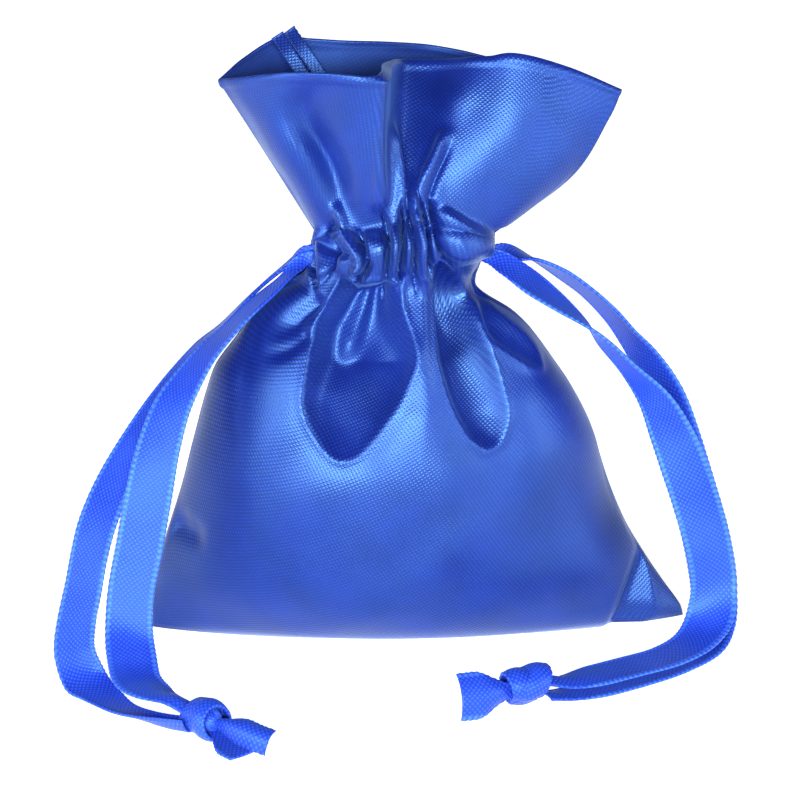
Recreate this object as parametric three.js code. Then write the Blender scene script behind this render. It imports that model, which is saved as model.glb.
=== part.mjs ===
// A small satin drawstring pouch standing on its base, in mm.
// X runs to the right, Y away from the viewer, Z up; the base rests on Z = 0.
import * as THREE from "three";

// Cloth and ribbon.
const WALL = 1.0; // thickness given to the satin
const GAP = 0.3; // clearance between neighbouring pieces
const RIBBON_WIDTH = 6.4;
const RIBBON_THICK = 1.0;
const EXIT_SHARE = 0.4; // a ribbon leaves the casing gathered to this share of its width
const KNOT_SHARE = 0.5; // it narrows to this share at its knot
const KNOT_LENGTH = 9; // over this length
const TAIL_LENGTH = 5.5; // a cut tail spreads from its knot over this length

// How finely the cloth is faceted.
const COLUMNS = 34;
const RIBBON_STEPS = 34;
const TAIL_STEPS = 6;
const RING_STEPS = 40;

// Heights of the drawstring casing and of the gathered zone around it.
const CASING_LOW = 50;
const CASING_HIGH = 60;
const GATHER_LOW = 43;
const GATHER_HIGH = 67;

// Sections of sack and casing. left and right are the side seams, front and back the depths of
// the two panels, lens the roundness (0.5 an ellipse, 1 a pointed lens) and slit half the
// opening left in the side seam.
const SECTIONS = [
  { z: 0, left: -37.2, right: 37.2, front: 8.6, back: 8.6, lens: 0.85, slit: 0.7 },
  { z: 1.5, left: -37.1, right: 36.8, front: 12.2, back: 12.2, lens: 0.9, slit: 0.7 },
  { z: 5, left: -36.9, right: 34.4, front: 14.8, back: 14.8, lens: 0.85, slit: 0.6 },
  { z: 9, left: -36.2, right: 31.8, front: 15.8, back: 15.8, lens: 0.75, slit: 0.5 },
  { z: 14, left: -34.8, right: 28.9, front: 15.9, back: 15.9, lens: 0.66, slit: 0.3 },
  { z: 20, left: -32.9, right: 26.4, front: 15.4, back: 15.4, lens: 0.58, slit: 0.1 },
  { z: 28, left: -30.6, right: 23.8, front: 14.2, back: 14.2, lens: 0.52, slit: 0 },
  { z: 34, left: -29.1, right: 21.0, front: 13.0, back: 13.0, lens: 0.5, slit: 0 },
  { z: 38, left: -27.7, right: 18.4, front: 12.1, back: 12.1, lens: 0.5, slit: 0 },
  { z: 42, left: -24.8, right: 15.6, front: 11.1, back: 11.1, lens: 0.5, slit: 0 },
  { z: 45.5, left: -22.6, right: 12.6, front: 10.0, back: 10.0, lens: 0.5, slit: 0 },
  { z: 48.5, left: -20.0, right: 9.2, front: 8.9, back: 8.9, lens: 0.5, slit: 0 },
  { z: 50.4, left: -18.4, right: 7.8, front: 8.4, back: 8.4, lens: 0.5, slit: 0.3 },
  { z: 52.6, left: -16.4, right: 7.7, front: 7.9, back: 7.9, lens: 0.5, slit: 1.4 },
  { z: 54.2, left: -15.3, right: 7.9, front: 7.4, back: 7.4, lens: 0.5, slit: 2.0 },
  { z: 56.4, left: -14.6, right: 8.5, front: 7.4, back: 7.4, lens: 0.5, slit: 2.0 },
  { z: 58.2, left: -14.3, right: 9.6, front: 7.2, back: 7.2, lens: 0.5, slit: 2.0 },
  { z: 60, left: -13.8, right: 10.3, front: 7.4, back: 7.4, lens: 0.5, slit: 0.6 },
];
const DROOP = 4; // the casing hangs this much lower at the seams than in front
const DROOP_FROM = 42; // the height from which it does

const ROUND = 0.5; // the lens value of an ellipse
const POINTED = 0.9; // the lens value of a pointed section
const LENS_SPREAD = 0.7; // how far a pointed section's columns are spaced evenly

// Scoops the gathers leave in the sack: x and z of the lowest point, the x they run up to at
// the casing, their half width and depth.
const SCOOPS = {
  front: [
    { x: -11.4, z: 27.6, xTop: -5.6, half: 7.4, depth: 4.8 },
    { x: 8.3, z: 28.6, xTop: 4.4, half: 5.4, depth: 4.4 },
    { x: 15.6, z: 38.6, xTop: 8.4, half: 3.2, depth: 2.2 },
    { x: -21.0, z: 41.6, xTop: -12.4, half: 3.2, depth: 2.0 },
  ],
  back: [
    { x: -15.5, z: 30.5, xTop: -9.0, half: 6.0, depth: 3.8 },
    { x: -1.5, z: 26.0, xTop: -2.2, half: 6.0, depth: 4.4 },
    { x: 11.5, z: 30.0, xTop: 4.8, half: 5.2, depth: 3.8 },
  ],
};
const SCOOP_TOP = 49.5;
const SCOOP_OPENING = 0.4; // share of its height over which a scoop widens from its lowest point
const SCOOP_NARROW = 0.4; // share of its half width left at the casing
const SCOOP_FLAT = 0.25; // share of its half width that is level
const SCOOP_FOOT = 0.16; // share of its height over which it deepens
const SCOOP_FADE = 0.75; // share of its height from which it fades out

// Gathers of the casing: their number across a panel and their half height.
const PLEATS = { front: 7, back: 8 };
const PLEAT_HEIGHT = 0.5;

// The ruffle's rim, from the left seam to the right seam.
const RIM = {
  front: [
    { x: -26.8, y: -0.15, z: 77.3 },
    { x: -24.2, y: -3.2, z: 78.7 },
    { x: -17.5, y: -9.0, z: 80.3 },
    { x: -11.1, y: -12.4, z: 80.5 },
    { x: -6.8, y: -12.2, z: 80.3 },
    { x: -5.0, y: -9.2, z: 80.6 },
    { x: -4.0, y: -5.2, z: 81.2 },
    { x: -1.6, y: -3.2, z: 81.3 },
    { x: 2.2, y: -3.0, z: 81.2 },
    { x: 7.4, y: -3.0, z: 80.2 },
    { x: 12.4, y: -2.4, z: 80.9 },
    { x: 19.6, y: -1.6, z: 78.9 },
    { x: 27.1, y: -0.15, z: 75.4 },
  ],
  back: [
    { x: -26.8, y: 0.15, z: 77.3 },
    { x: -23.4, y: 4.2, z: 79.4 },
    { x: -18.2, y: 8.4, z: 81.4 },
    { x: -14.4, y: 9.6, z: 80.8 },
    { x: -9.5, y: 9.0, z: 80.6 },
    { x: -4.2, y: 9.8, z: 80.2 },
    { x: 1.5, y: 12.2, z: 79.4 },
    { x: 6.5, y: 11.0, z: 79.2 },
    { x: 11.0, y: 7.6, z: 79.4 },
    { x: 16.0, y: 7.2, z: 79.0 },
    { x: 21.0, y: 7.8, z: 78.0 },
    { x: 24.6, y: 4.6, z: 76.6 },
    { x: 27.1, y: 0.15, z: 75.4 },
  ],
};

const RIGHT_FLARE = 3.4; // how far the ruffle's right edge bulges past a straight line

// Rows of facets up a panel: shares of the base, heights of the sack, shares of the ruffle.
const BASE_SHARES = [0, 0.5];
const SACK_HEIGHTS = [0, 1.8, 5, 9, 14, 20, 25, 29.5, 33.5, 37, 40.5, 43.5, 46, 48.5, 50.4, 52.6, 54.2,
  56.4, 58.2, 60];
const RUFFLE_SHARES = [0.12, 0.26, 0.42, 0.6, 0.8, 1];
const FOLD_SHARE = 0.96; // the bottom fold is this share of the base's length

// Channel behind the casing: insets from the cloth's outside.
const RUN_INSET = 1.95; // outer face of the ribbons running round inside
const RUN_HEIGHT = 2.2; // a ribbon is folded lengthwise to this height inside
const RUN_LOW = { left: 54.6, right: 52.0 };
const RUN_OPENING = 0.05; // half the angle left open at a ribbon's own slit, in radians
const FACING_INSET = 3.3;
const FACING_LOW_INSET = 2.8;
const FACING_HIGH_INSET = 2.3;
const FACING = [
  { z: 50.4, inset: FACING_LOW_INSET },
  { z: 52.0, inset: FACING_INSET },
  { z: 54.2, inset: FACING_INSET },
  { z: 57.2, inset: FACING_INSET },
  { z: 58.6, inset: FACING_HIGH_INSET },
];

// Routes of the four ribbon strands from the casing to their knot. w points across the ribbon.
const STRANDS = {
  ribbon_left_front: [
    { x: -13.8, y: -0.7, z: 53.2, w: [0, 0.1, 1] },
    { x: -15.8, y: -1.1, z: 52.8, w: [-0.07, 0.4, 0.9] },
    { x: -18, y: -2.7, z: 51.1, w: [-0.15, 0.96, 0.06] },
    { x: -20.2, y: -4.7, z: 49.7, w: [-0.16, 0.98, 0] },
    { x: -22.9, y: -6.8, z: 48, w: [-0.2, 0.97, -0.05] },
    { x: -26.1, y: -9.2, z: 45.5, w: [-0.2, 0.97, -0.08] },
    { x: -29, y: -11.2, z: 43, w: [-0.28, 0.95, 0.02] },
    { x: -31.9, y: -13, z: 39.4, w: [-0.48, 0.86, 0.12] },
    { x: -33.8, y: -14.4, z: 36.4, w: [-0.66, 0.72, 0.15] },
    { x: -35.6, y: -16.3, z: 31.5, w: [-0.82, 0.53, 0.12] },
    { x: -37, y: -18, z: 25.5, w: [-0.94, 0.32, 0.06] },
    { x: -38.3, y: -19.2, z: 19, w: [-0.94, 0.32, 0.03] },
    { x: -39.6, y: -20.3, z: 12.6, w: [-0.93, 0.34, 0] },
    { x: -39.9, y: -22.2, z: 7.8, w: [-0.95, 0.25, 0] },
    { x: -39.5, y: -25.6, z: 5.4, w: [-0.98, 0, -0.05] },
    { x: -38.8, y: -29.6, z: 4.2, w: [-0.9, -0.4, 0] },
    { x: -36.6, y: -33.8, z: 4.2, w: [-0.8, -0.55, 0.1] },
    { x: -33.9, y: -36.7, z: 4.4, w: [-0.7, -0.65, 0.2] },
    { x: -31.7, y: -38.3, z: 3.8, w: [-0.65, -0.7, 0.1] },
  ],
  ribbon_left_back: [
    { x: -13.8, y: 0.7, z: 53.6, w: [0, 0.1, 1] },
    { x: -15.4, y: 1.1, z: 53.2, w: [0, 0.3, 0.95] },
    { x: -17.4, y: 2.4, z: 51.5, w: [0.03, 0.95, 0] },
    { x: -20.3, y: 2.3, z: 49.2, w: [0.05, 0.95, -0.2] },
    { x: -23.3, y: 1, z: 46.8, w: [0.03, 0.95, -0.22] },
    { x: -26.6, y: -1.3, z: 44, w: [-0.05, 0.95, -0.2] },
    { x: -29.7, y: -3.4, z: 41.6, w: [-0.15, 0.95, -0.1] },
    { x: -32.8, y: -5.8, z: 38.2, w: [-0.3, 0.92, 0] },
    { x: -35.9, y: -8.6, z: 34.3, w: [-0.45, 0.85, 0.08] },
    { x: -39.1, y: -10.8, z: 29.7, w: [-0.55, 0.8, 0.12] },
    { x: -41.9, y: -12.6, z: 25, w: [-0.62, 0.74, 0.15] },
    { x: -44, y: -14.6, z: 20.4, w: [-0.68, 0.7, 0.14] },
    { x: -45.1, y: -16.2, z: 16.6, w: [-0.7, 0.7, 0.1] },
    { x: -46, y: -17.8, z: 12.4, w: [-0.72, 0.68, 0.06] },
    { x: -46.9, y: -19.6, z: 8.7, w: [-0.74, 0.66, 0.03] },
    { x: -47.2, y: -22, z: 5.4, w: [-0.8, 0.58, 0] },
    { x: -45.9, y: -24.8, z: 2.6, w: [-0.92, 0.35, 0] },
    { x: -43.5, y: -28, z: 1.5, w: [-0.95, -0.1, 0] },
    { x: -40.8, y: -31.8, z: 1.1, w: [-0.8, -0.55, 0.1] },
    { x: -37.7, y: -35.2, z: 1.2, w: [-0.68, -0.7, 0.15] },
    { x: -34.6, y: -38.2, z: 1.5, w: [-0.6, -0.75, 0.2] },
    { x: -32, y: -40.3, z: 1.9, w: [-0.55, -0.8, 0.2] },
  ],
  ribbon_right_front: [
    { x: 7.6, y: -0.7, z: 53.4, w: [0, 0.1, 1] },
    { x: 10.2, y: -1.4, z: 52.8, w: [0.15, 0.55, 0.8] },
    { x: 12.5, y: -2.8, z: 51.6, w: [0.33, 0.85, 0.38] },
    { x: 15.6, y: -4.4, z: 49.5, w: [0.36, 0.92, 0.14] },
    { x: 18.7, y: -5.8, z: 47.4, w: [0.3, 0.95, -0.02] },
    { x: 21.8, y: -7, z: 45.1, w: [0.17, 0.95, -0.22] },
    { x: 24.2, y: -8, z: 42.7, w: [-0.05, 0.93, -0.38] },
    { x: 27.7, y: -9.2, z: 39.1, w: [-0.18, 0.88, -0.44] },
    { x: 31.2, y: -10.2, z: 34.9, w: [-0.5, 0.7, -0.5] },
    { x: 33.6, y: -10.9, z: 30, w: [-0.76, 0.42, -0.45] },
    { x: 35.5, y: -11.3, z: 25.1, w: [-0.88, 0.2, -0.4] },
    { x: 37.1, y: -11.4, z: 20.4, w: [-0.93, 0.05, -0.33] },
    { x: 38.8, y: -11.5, z: 14.4, w: [-0.97, -0.15, -0.15] },
    { x: 39.7, y: -11.6, z: 8.6, w: [-0.98, -0.1, -0.05] },
    { x: 38.9, y: -13.4, z: 4.6, w: [-0.95, 0.2, 0] },
    { x: 36.4, y: -17.2, z: 2.9, w: [-0.75, 0.65, 0] },
    { x: 32.3, y: -20.9, z: 2.3, w: [-0.55, 0.83, 0] },
    { x: 27.6, y: -23.7, z: 2.2, w: [-0.5, 0.86, 0] },
    { x: 22.5, y: -26.3, z: 2.2, w: [-0.5, 0.86, 0] },
    { x: 17.8, y: -28.9, z: 2.5, w: [-0.5, 0.86, 0] },
    { x: 14.8, y: -30.2, z: 3.4, w: [-0.45, 0.88, 0] },
  ],
  ribbon_right_back: [
    { x: 7.6, y: 0.7, z: 53.1, w: [0, 0.1, 1] },
    { x: 10.2, y: 1, z: 52.8, w: [0.05, 0.25, 0.95] },
    { x: 12.9, y: 2, z: 52.5, w: [0.1, 0.85, 0.3] },
    { x: 15.6, y: 2.5, z: 51.6, w: [0.05, 0.95, -0.25] },
    { x: 19.3, y: 2.1, z: 49.6, w: [-0.05, 0.9, -0.4] },
    { x: 22.8, y: 0.8, z: 47.3, w: [-0.08, 0.9, -0.42] },
    { x: 26.1, y: 0, z: 44.2, w: [-0.14, 0.87, -0.45] },
    { x: 28.5, y: -1.2, z: 41.2, w: [-0.23, 0.84, -0.48] },
    { x: 30.9, y: -3, z: 38, w: [-0.45, 0.7, -0.5] },
    { x: 33.2, y: -5.2, z: 33.8, w: [-0.65, 0.5, -0.48] },
    { x: 34.7, y: -6.8, z: 28.8, w: [-0.82, 0.25, -0.42] },
    { x: 36.2, y: -7.6, z: 23.8, w: [-0.9, 0.1, -0.36] },
    { x: 37.8, y: -8.1, z: 18.5, w: [-0.93, -0.1, -0.22] },
    { x: 39.1, y: -8.5, z: 12.8, w: [-0.94, -0.25, -0.08] },
    { x: 40.1, y: -9, z: 6.8, w: [-0.97, -0.1, -0.02] },
    { x: 39.6, y: -11.3, z: 3, w: [-0.95, 0.25, 0] },
    { x: 37.6, y: -15.6, z: 1.3, w: [-0.75, 0.65, 0] },
    { x: 33, y: -20.2, z: 0.8, w: [-0.55, 0.83, 0] },
    { x: 28, y: -23.8, z: 0.7, w: [-0.5, 0.86, 0] },
    { x: 22.7, y: -26.9, z: 0.7, w: [-0.5, 0.86, 0] },
    { x: 17.9, y: -29.4, z: 0.8, w: [-0.5, 0.86, 0] },
    { x: 14.8, y: -30.9, z: 1.3, w: [-0.48, 0.87, 0] },
  ],
};

// Cut tails beyond the knots, from the knot outwards.
const TAILS = {
  tail_left_upper: [
    { x: -29.2, y: -41.2, z: 3.2, w: [0.5, 0.6, 0.6] },
    { x: -26.4, y: -44, z: 3.5, w: [0.5, 0.55, 0.67] },
    { x: -23.9, y: -45.9, z: 3.1, w: [0.45, 0.6, 0.67] },
    { x: -21.9, y: -46.8, z: 2.6, w: [0.45, 0.6, 0.67] },
  ],
  tail_left_lower: [
    { x: -29, y: -41, z: 1.7, w: [0.6, 0.7, 0.3] },
    { x: -26.7, y: -44, z: 1.2, w: [0.5, 0.85, 0.15] },
    { x: -24.6, y: -46.6, z: 0.9, w: [0.47, 0.88, 0.08] },
  ],
  tail_right_front: [
    { x: 10.4, y: -33, z: 2.9, w: [-0.1, 0.1, 0.97] },
    { x: 7.4, y: -34.4, z: 3.1, w: [-0.2, 0.25, 0.93] },
    { x: 5, y: -35.2, z: 3.2, w: [-0.3, 0.33, 0.88] },
    { x: 3.2, y: -35.7, z: 3.3, w: [-0.36, 0.36, 0.85] },
  ],
  tail_right_back: [
    { x: 10.4, y: -31.8, z: 2.8, w: [-0.2, 0, 0.97] },
    { x: 7.4, y: -32.4, z: 2.9, w: [-0.25, 0.1, 0.96] },
    { x: 5.2, y: -32.6, z: 3, w: [-0.3, 0.2, 0.93] },
  ],
};

// The length over which each strand spreads from the casing.
const SPREAD = {
  ribbon_left_front: 20,
  ribbon_left_back: 20,
  ribbon_right_front: 11,
  ribbon_right_back: 14,
};

// Half the width of each tail.
const TAIL_HALF = {
  tail_left_upper: 1.8,
  tail_left_lower: 3.2,
  tail_right_front: 3.1,
  tail_right_back: 2.2,
};

// How much of a route lies inside its knot.
const TUCKED = {
  ribbon_left_front: 1.2,
  ribbon_left_back: 3.0,
  ribbon_right_front: 0,
  ribbon_right_back: 0.2,
  tail_left_upper: 2.0,
  tail_left_lower: 2.1,
  tail_right_front: 1.5,
  tail_right_back: 1.9,
};

// Overhand knots: a waisted barrel along an axis that lies on the floor plane.
const KNOTS = {
  knot_left: { x: -29.9, y: -40.0, z: 3.05, axis: [0.6, -0.8, 0] },
  knot_right: { x: 11.7, y: -31.7, z: 3.05, axis: [-0.93, -0.37, 0] },
};
const KNOT_PROFILE = [
  { along: -2.7, radius: 1.6 },
  { along: -1.7, radius: 2.5 },
  { along: -0.4, radius: 2.4 },
  { along: 1.0, radius: 2.7 },
  { along: 2.0, radius: 2.3 },
  { along: 2.7, radius: 1.4 },
];
const KNOT_STEPS = 12;

const COLOURS = { satin: 0x2f5fc8, facing: 0x2a54b4, ribbon: 0x3d6cf0 };

function mix(a, b, share) {
  return a + (b - a) * share;
}

function smooth(low, high, value) {
  const share = Math.min(1, Math.max(0, (value - low) / (high - low)));
  return share * share * (3 - 2 * share);
}

// All columns of a table at one height, by a cubic through its rows.
function rowAt(table, z) {
  const last = table.length - 1;
  let k = 0;
  while (k < last - 1 && table[k + 1].z < z) k++;
  const [a, b] = [table[k], table[k + 1]];
  const [before, after] = [table[Math.max(0, k - 1)], table[Math.min(last, k + 2)]];
  const span = b.z - a.z;
  const t = Math.min(1, Math.max(0, (z - a.z) / span));
  const row = {};
  for (const name of Object.keys(a)) {
    const slopeA = ((b[name] - before[name]) / (b.z - before.z)) * span;
    const slopeB = ((after[name] - a[name]) / (after.z - a.z)) * span;
    const drop = a[name] - b[name];
    row[name] = a[name] + t * slopeA
      + t * t * (-3 * drop - 2 * slopeA - slopeB)
      + t * t * t * (2 * drop + slopeA + slopeB);
  }
  row.slit = Math.max(0, row.slit ?? 0);
  return row;
}

// Joins rings of equal length into one closed solid; open lofts get end caps.
function loft(rings, closed) {
  const count = rings[0].length;
  const positions = rings.flat().flatMap((p) => [p.x, p.y, p.z]);
  const index = [];
  const quad = (a, b, c, d) => index.push(a, b, c, a, c, d);
  const spans = closed ? rings.length : rings.length - 1;
  for (let r = 0; r < spans; r++) {
    const here = r * count;
    const next = ((r + 1) % rings.length) * count;
    for (let k = 0; k < count; k++) {
      const after = (k + 1) % count;
      quad(here + k, next + k, next + after, here + after);
    }
  }
  if (!closed) {
    const end = (rings.length - 1) * count;
    for (let k = 0; k < count / 2 - 1; k++) {
      const far = count - 1 - k;
      quad(k, k + 1, far - 1, far);
      quad(end + far, end + far - 1, end + k + 1, end + k);
    }
  }
  if (signedVolume(positions, index) < 0) index.reverse();
  const geometry = new THREE.BufferGeometry();
  geometry.setAttribute("position", new THREE.Float32BufferAttribute(positions, 3));
  geometry.setIndex(index);
  geometry.computeVertexNormals();
  return geometry;
}

function signedVolume(positions, index) {
  const corner = (i) => new THREE.Vector3().fromArray(positions, 3 * i);
  let volume = 0;
  for (let i = 0; i < index.length; i += 3) {
    const [a, b, c] = [corner(index[i]), corner(index[i + 1]), corner(index[i + 2])];
    volume += a.dot(b.cross(c)) / 6;
  }
  return volume;
}

// How far the cloth has sunk at a height, u of the half width out from the middle.
function droop(z, u) {
  return DROOP * smooth(DROOP_FROM, CASING_HIGH, z) * u * u;
}

// A point of a panel's sack or casing; s runs from -1 at the left seam to 1 at the right.
function sackPoint(side, s, z) {
  const row = rowAt(SECTIONS, z);
  const spread = LENS_SPREAD * smooth(ROUND, POINTED, row.lens);
  const u = mix(Math.sin((s * Math.PI) / 2), s, spread);
  const depth = side < 0 ? row.front : row.back;
  const x = (row.left + row.right) / 2 + (u * (row.right - row.left)) / 2;
  const y = GAP / 2 + row.slit + depth * Math.pow(Math.max(0, 1 - u * u), row.lens);
  return new THREE.Vector3(x, side * y, z - droop(z, u));
}

// A point of the flat base, from the bottom fold (share 0) to the sack's foot (share 1).
function basePoint(side, s, share) {
  const foot = sackPoint(side, s, 0);
  const y = mix(GAP / 2, Math.abs(foot.y), share);
  return new THREE.Vector3(foot.x * mix(FOLD_SHARE, 1, share), side * y, 0);
}

// A point of the ruffle, from the casing (share 0) out to the rim (share 1).
function rufflePoint(rim, side, s, share) {
  const foot = sackPoint(side, s, CASING_HIGH);
  const point = foot.lerp(rim.getPointAt((s + 1) / 2), share);
  point.x += RIGHT_FLARE * Math.sin(Math.PI * share) * Math.max(0, s) ** 3;
  return point;
}

function scoopDepth(scoop, x, z) {
  const share = (z - scoop.z) / (SCOOP_TOP - scoop.z);
  if (share <= 0 || share >= 1) return 0;
  const middle = mix(scoop.x, scoop.xTop, share);
  const narrowing = mix(1, SCOOP_NARROW, smooth(SCOOP_OPENING, 1, share));
  const half = scoop.half * Math.sqrt(Math.min(1, share / SCOOP_OPENING)) * narrowing;
  const across = 1 - smooth(SCOOP_FLAT, 1, Math.abs(x - middle) / half);
  return scoop.depth * across * smooth(0, SCOOP_FOOT, share) * (1 - smooth(SCOOP_FADE, 1, share));
}

function pleatHeight(name, s, z) {
  const window = smooth(GATHER_LOW, CASING_LOW, z) * (1 - smooth(CASING_HIGH, GATHER_HIGH, z));
  return PLEAT_HEIGHT * window * Math.sin(Math.PI * PLEATS[name] * (s + 1));
}

// Rows of the smooth cloth surface, each a list of points across the panel.
function smoothRows(name, side) {
  const rim = new THREE.CatmullRomCurve3(RIM[name].map((p) => new THREE.Vector3(p.x, p.y, p.z)));
  const across = Array.from({ length: COLUMNS + 1 }, (_, c) => (2 * c) / COLUMNS - 1);
  return [
    ...BASE_SHARES.map((share) => across.map((s) => basePoint(side, s, share))),
    ...SACK_HEIGHTS.map((z) => across.map((s) => sackPoint(side, s, z))),
    ...RUFFLE_SHARES.map((share) => across.map((s) => rufflePoint(rim, side, s, share))),
  ];
}

function outward(rows, r, c, side) {
  const along = rows[r][Math.min(COLUMNS, c + 1)].clone().sub(rows[r][Math.max(0, c - 1)]);
  const up = rows[Math.min(rows.length - 1, r + 1)][c].clone().sub(rows[Math.max(0, r - 1)][c]);
  return along.cross(up).multiplyScalar(-side).normalize();
}

// One panel of the bag: base half, sack, casing and ruffle in a single piece of cloth.
function panel(name, side) {
  const rows = smoothRows(name, side);
  const onOwnSide = (p) => {
    p.y = side * Math.max(GAP / 2, side * p.y);
    return p;
  };
  const rings = [];
  for (let c = 0; c <= COLUMNS; c++) {
    const s = (2 * c) / COLUMNS - 1;
    const outer = [];
    const inner = [];
    rows.forEach((row, r) => {
      const normal = outward(rows, r, c, side);
      const p = row[c];
      const dent = SCOOPS[name].reduce((sum, scoop) => sum + scoopDepth(scoop, p.x, p.z), 0);
      const lift = pleatHeight(name, s, p.z) - dent;
      const face = p.clone().addScaledVector(normal, lift);
      outer.push(onOwnSide(face));
      inner.unshift(onOwnSide(face.clone().addScaledVector(normal, -WALL)));
    });
    for (const p of inner) p.z = Math.max(p.z, WALL);
    for (const p of outer) p.z = Math.max(p.z, 0);
    rings.push([...outer, ...inner]);
  }
  return loft(rings, false);
}

// A point on an oval inset from the casing's outside; angle 0 is the front, growing rightwards.
function channelPoint(angle, z, inset) {
  const row = rowAt(SECTIONS, z);
  const outside = (row.right - row.left) / 2;
  const halfDepth = GAP / 2 + row.slit + row.front - inset;
  const offset = (outside - inset) * Math.sin(angle);
  const middle = (row.left + row.right) / 2;
  return new THREE.Vector3(middle + offset, -halfDepth * Math.cos(angle), z - droop(z, offset / outside));
}

// The inner strip of cloth that closes the drawstring channel.
function casingFacing() {
  const rings = [];
  for (let k = 0; k < RING_STEPS; k++) {
    const angle = (2 * Math.PI * k) / RING_STEPS;
    const outer = FACING.map((row) => channelPoint(angle, row.z, row.inset));
    const inner = FACING.map((row) => channelPoint(angle, row.z, row.inset + WALL)).reverse();
    rings.push([...outer, ...inner]);
  }
  return loft(rings, true);
}

// A ribbon's hidden run round the channel, open at its own side slit.
function channelRun(openAngle, zLow) {
  const rings = [];
  for (let k = 0; k <= RING_STEPS; k++) {
    const angle = openAngle + mix(RUN_OPENING, 2 * Math.PI - RUN_OPENING, k / RING_STEPS);
    const inner = RUN_INSET + RIBBON_THICK;
    rings.push([
      channelPoint(angle, zLow, RUN_INSET),
      channelPoint(angle, zLow + RUN_HEIGHT, RUN_INSET),
      channelPoint(angle, zLow + RUN_HEIGHT, inner),
      channelPoint(angle, zLow, inner),
    ]);
  }
  return loft(rings, false);
}

// A flat ribbon along a route, between two distances from its start; halfWidth takes the
// distances from the start and to the end.
function ribbon(route, from, to, halfWidth, steps) {
  const path = new THREE.CatmullRomCurve3(route.map((p) => new THREE.Vector3(p.x, p.y, p.z)));
  const sweep = new THREE.CatmullRomCurve3(route.map((p) => new THREE.Vector3(...p.w)));
  const length = path.getLength();
  const rings = [];
  for (let k = 0; k <= steps; k++) {
    const along = mix(from, length - to, k / steps);
    const share = along / length;
    const centre = path.getPointAt(share);
    const tangent = path.getTangentAt(share);
    const across = sweep.getPoint(path.getUtoTmapping(share));
    across.addScaledVector(tangent, -across.dot(tangent)).normalize();
    const normal = tangent.clone().cross(across);
    const half = halfWidth(along, length - along);
    const corner = (a, n) => centre.clone().addScaledVector(across, a * half)
      .addScaledVector(normal, (n * RIBBON_THICK) / 2);
    rings.push([corner(-1, -1), corner(1, -1), corner(1, 1), corner(-1, 1)]);
  }
  return loft(rings, false);
}

function strandHalf(name, fromStart, toEnd) {
  const leaving = mix(EXIT_SHARE, 1, smooth(0, SPREAD[name], fromStart));
  const arriving = mix(KNOT_SHARE, 1, smooth(0, KNOT_LENGTH, toEnd));
  return (RIBBON_WIDTH / 2) * Math.min(leaving, arriving);
}

function tailHalf(name, fromStart) {
  return TAIL_HALF[name] * mix(KNOT_SHARE, 1, smooth(0, TAIL_LENGTH, fromStart));
}

function knot(place) {
  const axis = new THREE.Vector3(...place.axis).normalize();
  const up = new THREE.Vector3(0, 0, 1);
  const flat = axis.clone().cross(up);
  const rings = KNOT_PROFILE.map((row) => {
    const centre = new THREE.Vector3(place.x, place.y, place.z).addScaledVector(axis, row.along);
    return Array.from({ length: KNOT_STEPS }, (_, k) => {
      const turn = (2 * Math.PI * k) / KNOT_STEPS;
      return centre.clone().addScaledVector(up, row.radius * Math.cos(turn))
        .addScaledVector(flat, row.radius * Math.sin(turn));
    });
  });
  return loft(rings, false);
}

const group = new THREE.Group();

function add(name, geometry, colour) {
  const material = new THREE.MeshStandardMaterial({ color: colour, roughness: 0.45, metalness: 0 });
  const mesh = new THREE.Mesh(geometry, material);
  mesh.name = name;
  group.add(mesh);
}

add("front_panel", panel("front", -1), COLOURS.satin);
add("back_panel", panel("back", 1), COLOURS.satin);
add("casing_facing", casingFacing(), COLOURS.facing);
add("ribbon_left_run", channelRun(-Math.PI / 2, RUN_LOW.left), COLOURS.ribbon);
add("ribbon_right_run", channelRun(Math.PI / 2, RUN_LOW.right), COLOURS.ribbon);
for (const [name, route] of Object.entries(STRANDS)) {
  const half = (fromStart, toEnd) => strandHalf(name, fromStart, toEnd);
  add(name, ribbon(route, 0, TUCKED[name], half, RIBBON_STEPS), COLOURS.ribbon);
}
for (const [name, place] of Object.entries(KNOTS)) add(name, knot(place), COLOURS.ribbon);
for (const [name, route] of Object.entries(TAILS)) {
  const half = (fromStart) => tailHalf(name, fromStart);
  add(name, ribbon(route, TUCKED[name], 0, half, TAIL_STEPS), COLOURS.ribbon);
}

export default group;
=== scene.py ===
"""A royal-blue satin drawstring pouch with ribbon drawstrings, standing on a pale floor."""
import math

import bmesh
import bpy
import numpy as np
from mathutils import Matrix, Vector


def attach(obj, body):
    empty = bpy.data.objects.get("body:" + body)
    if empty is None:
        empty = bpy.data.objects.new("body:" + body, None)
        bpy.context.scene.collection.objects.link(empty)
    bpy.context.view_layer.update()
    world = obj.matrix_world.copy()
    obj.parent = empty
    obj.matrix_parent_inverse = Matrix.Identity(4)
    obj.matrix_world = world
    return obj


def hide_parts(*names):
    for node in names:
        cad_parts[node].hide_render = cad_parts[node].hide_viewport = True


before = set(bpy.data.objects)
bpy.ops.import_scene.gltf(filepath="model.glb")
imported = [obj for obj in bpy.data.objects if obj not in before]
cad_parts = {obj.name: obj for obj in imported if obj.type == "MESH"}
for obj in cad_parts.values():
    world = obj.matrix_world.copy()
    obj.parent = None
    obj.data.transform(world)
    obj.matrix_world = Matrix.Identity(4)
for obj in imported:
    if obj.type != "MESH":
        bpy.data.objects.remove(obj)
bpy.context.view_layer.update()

MM = 0.001  # the tables below are in millimetres, the scene is in metres
TINY = 1e-9  # keeps a divisor from zero
WELD = 1e-7  # points this near each other, in metres, are one
UP = np.array([0, 0, 1.0])

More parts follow.
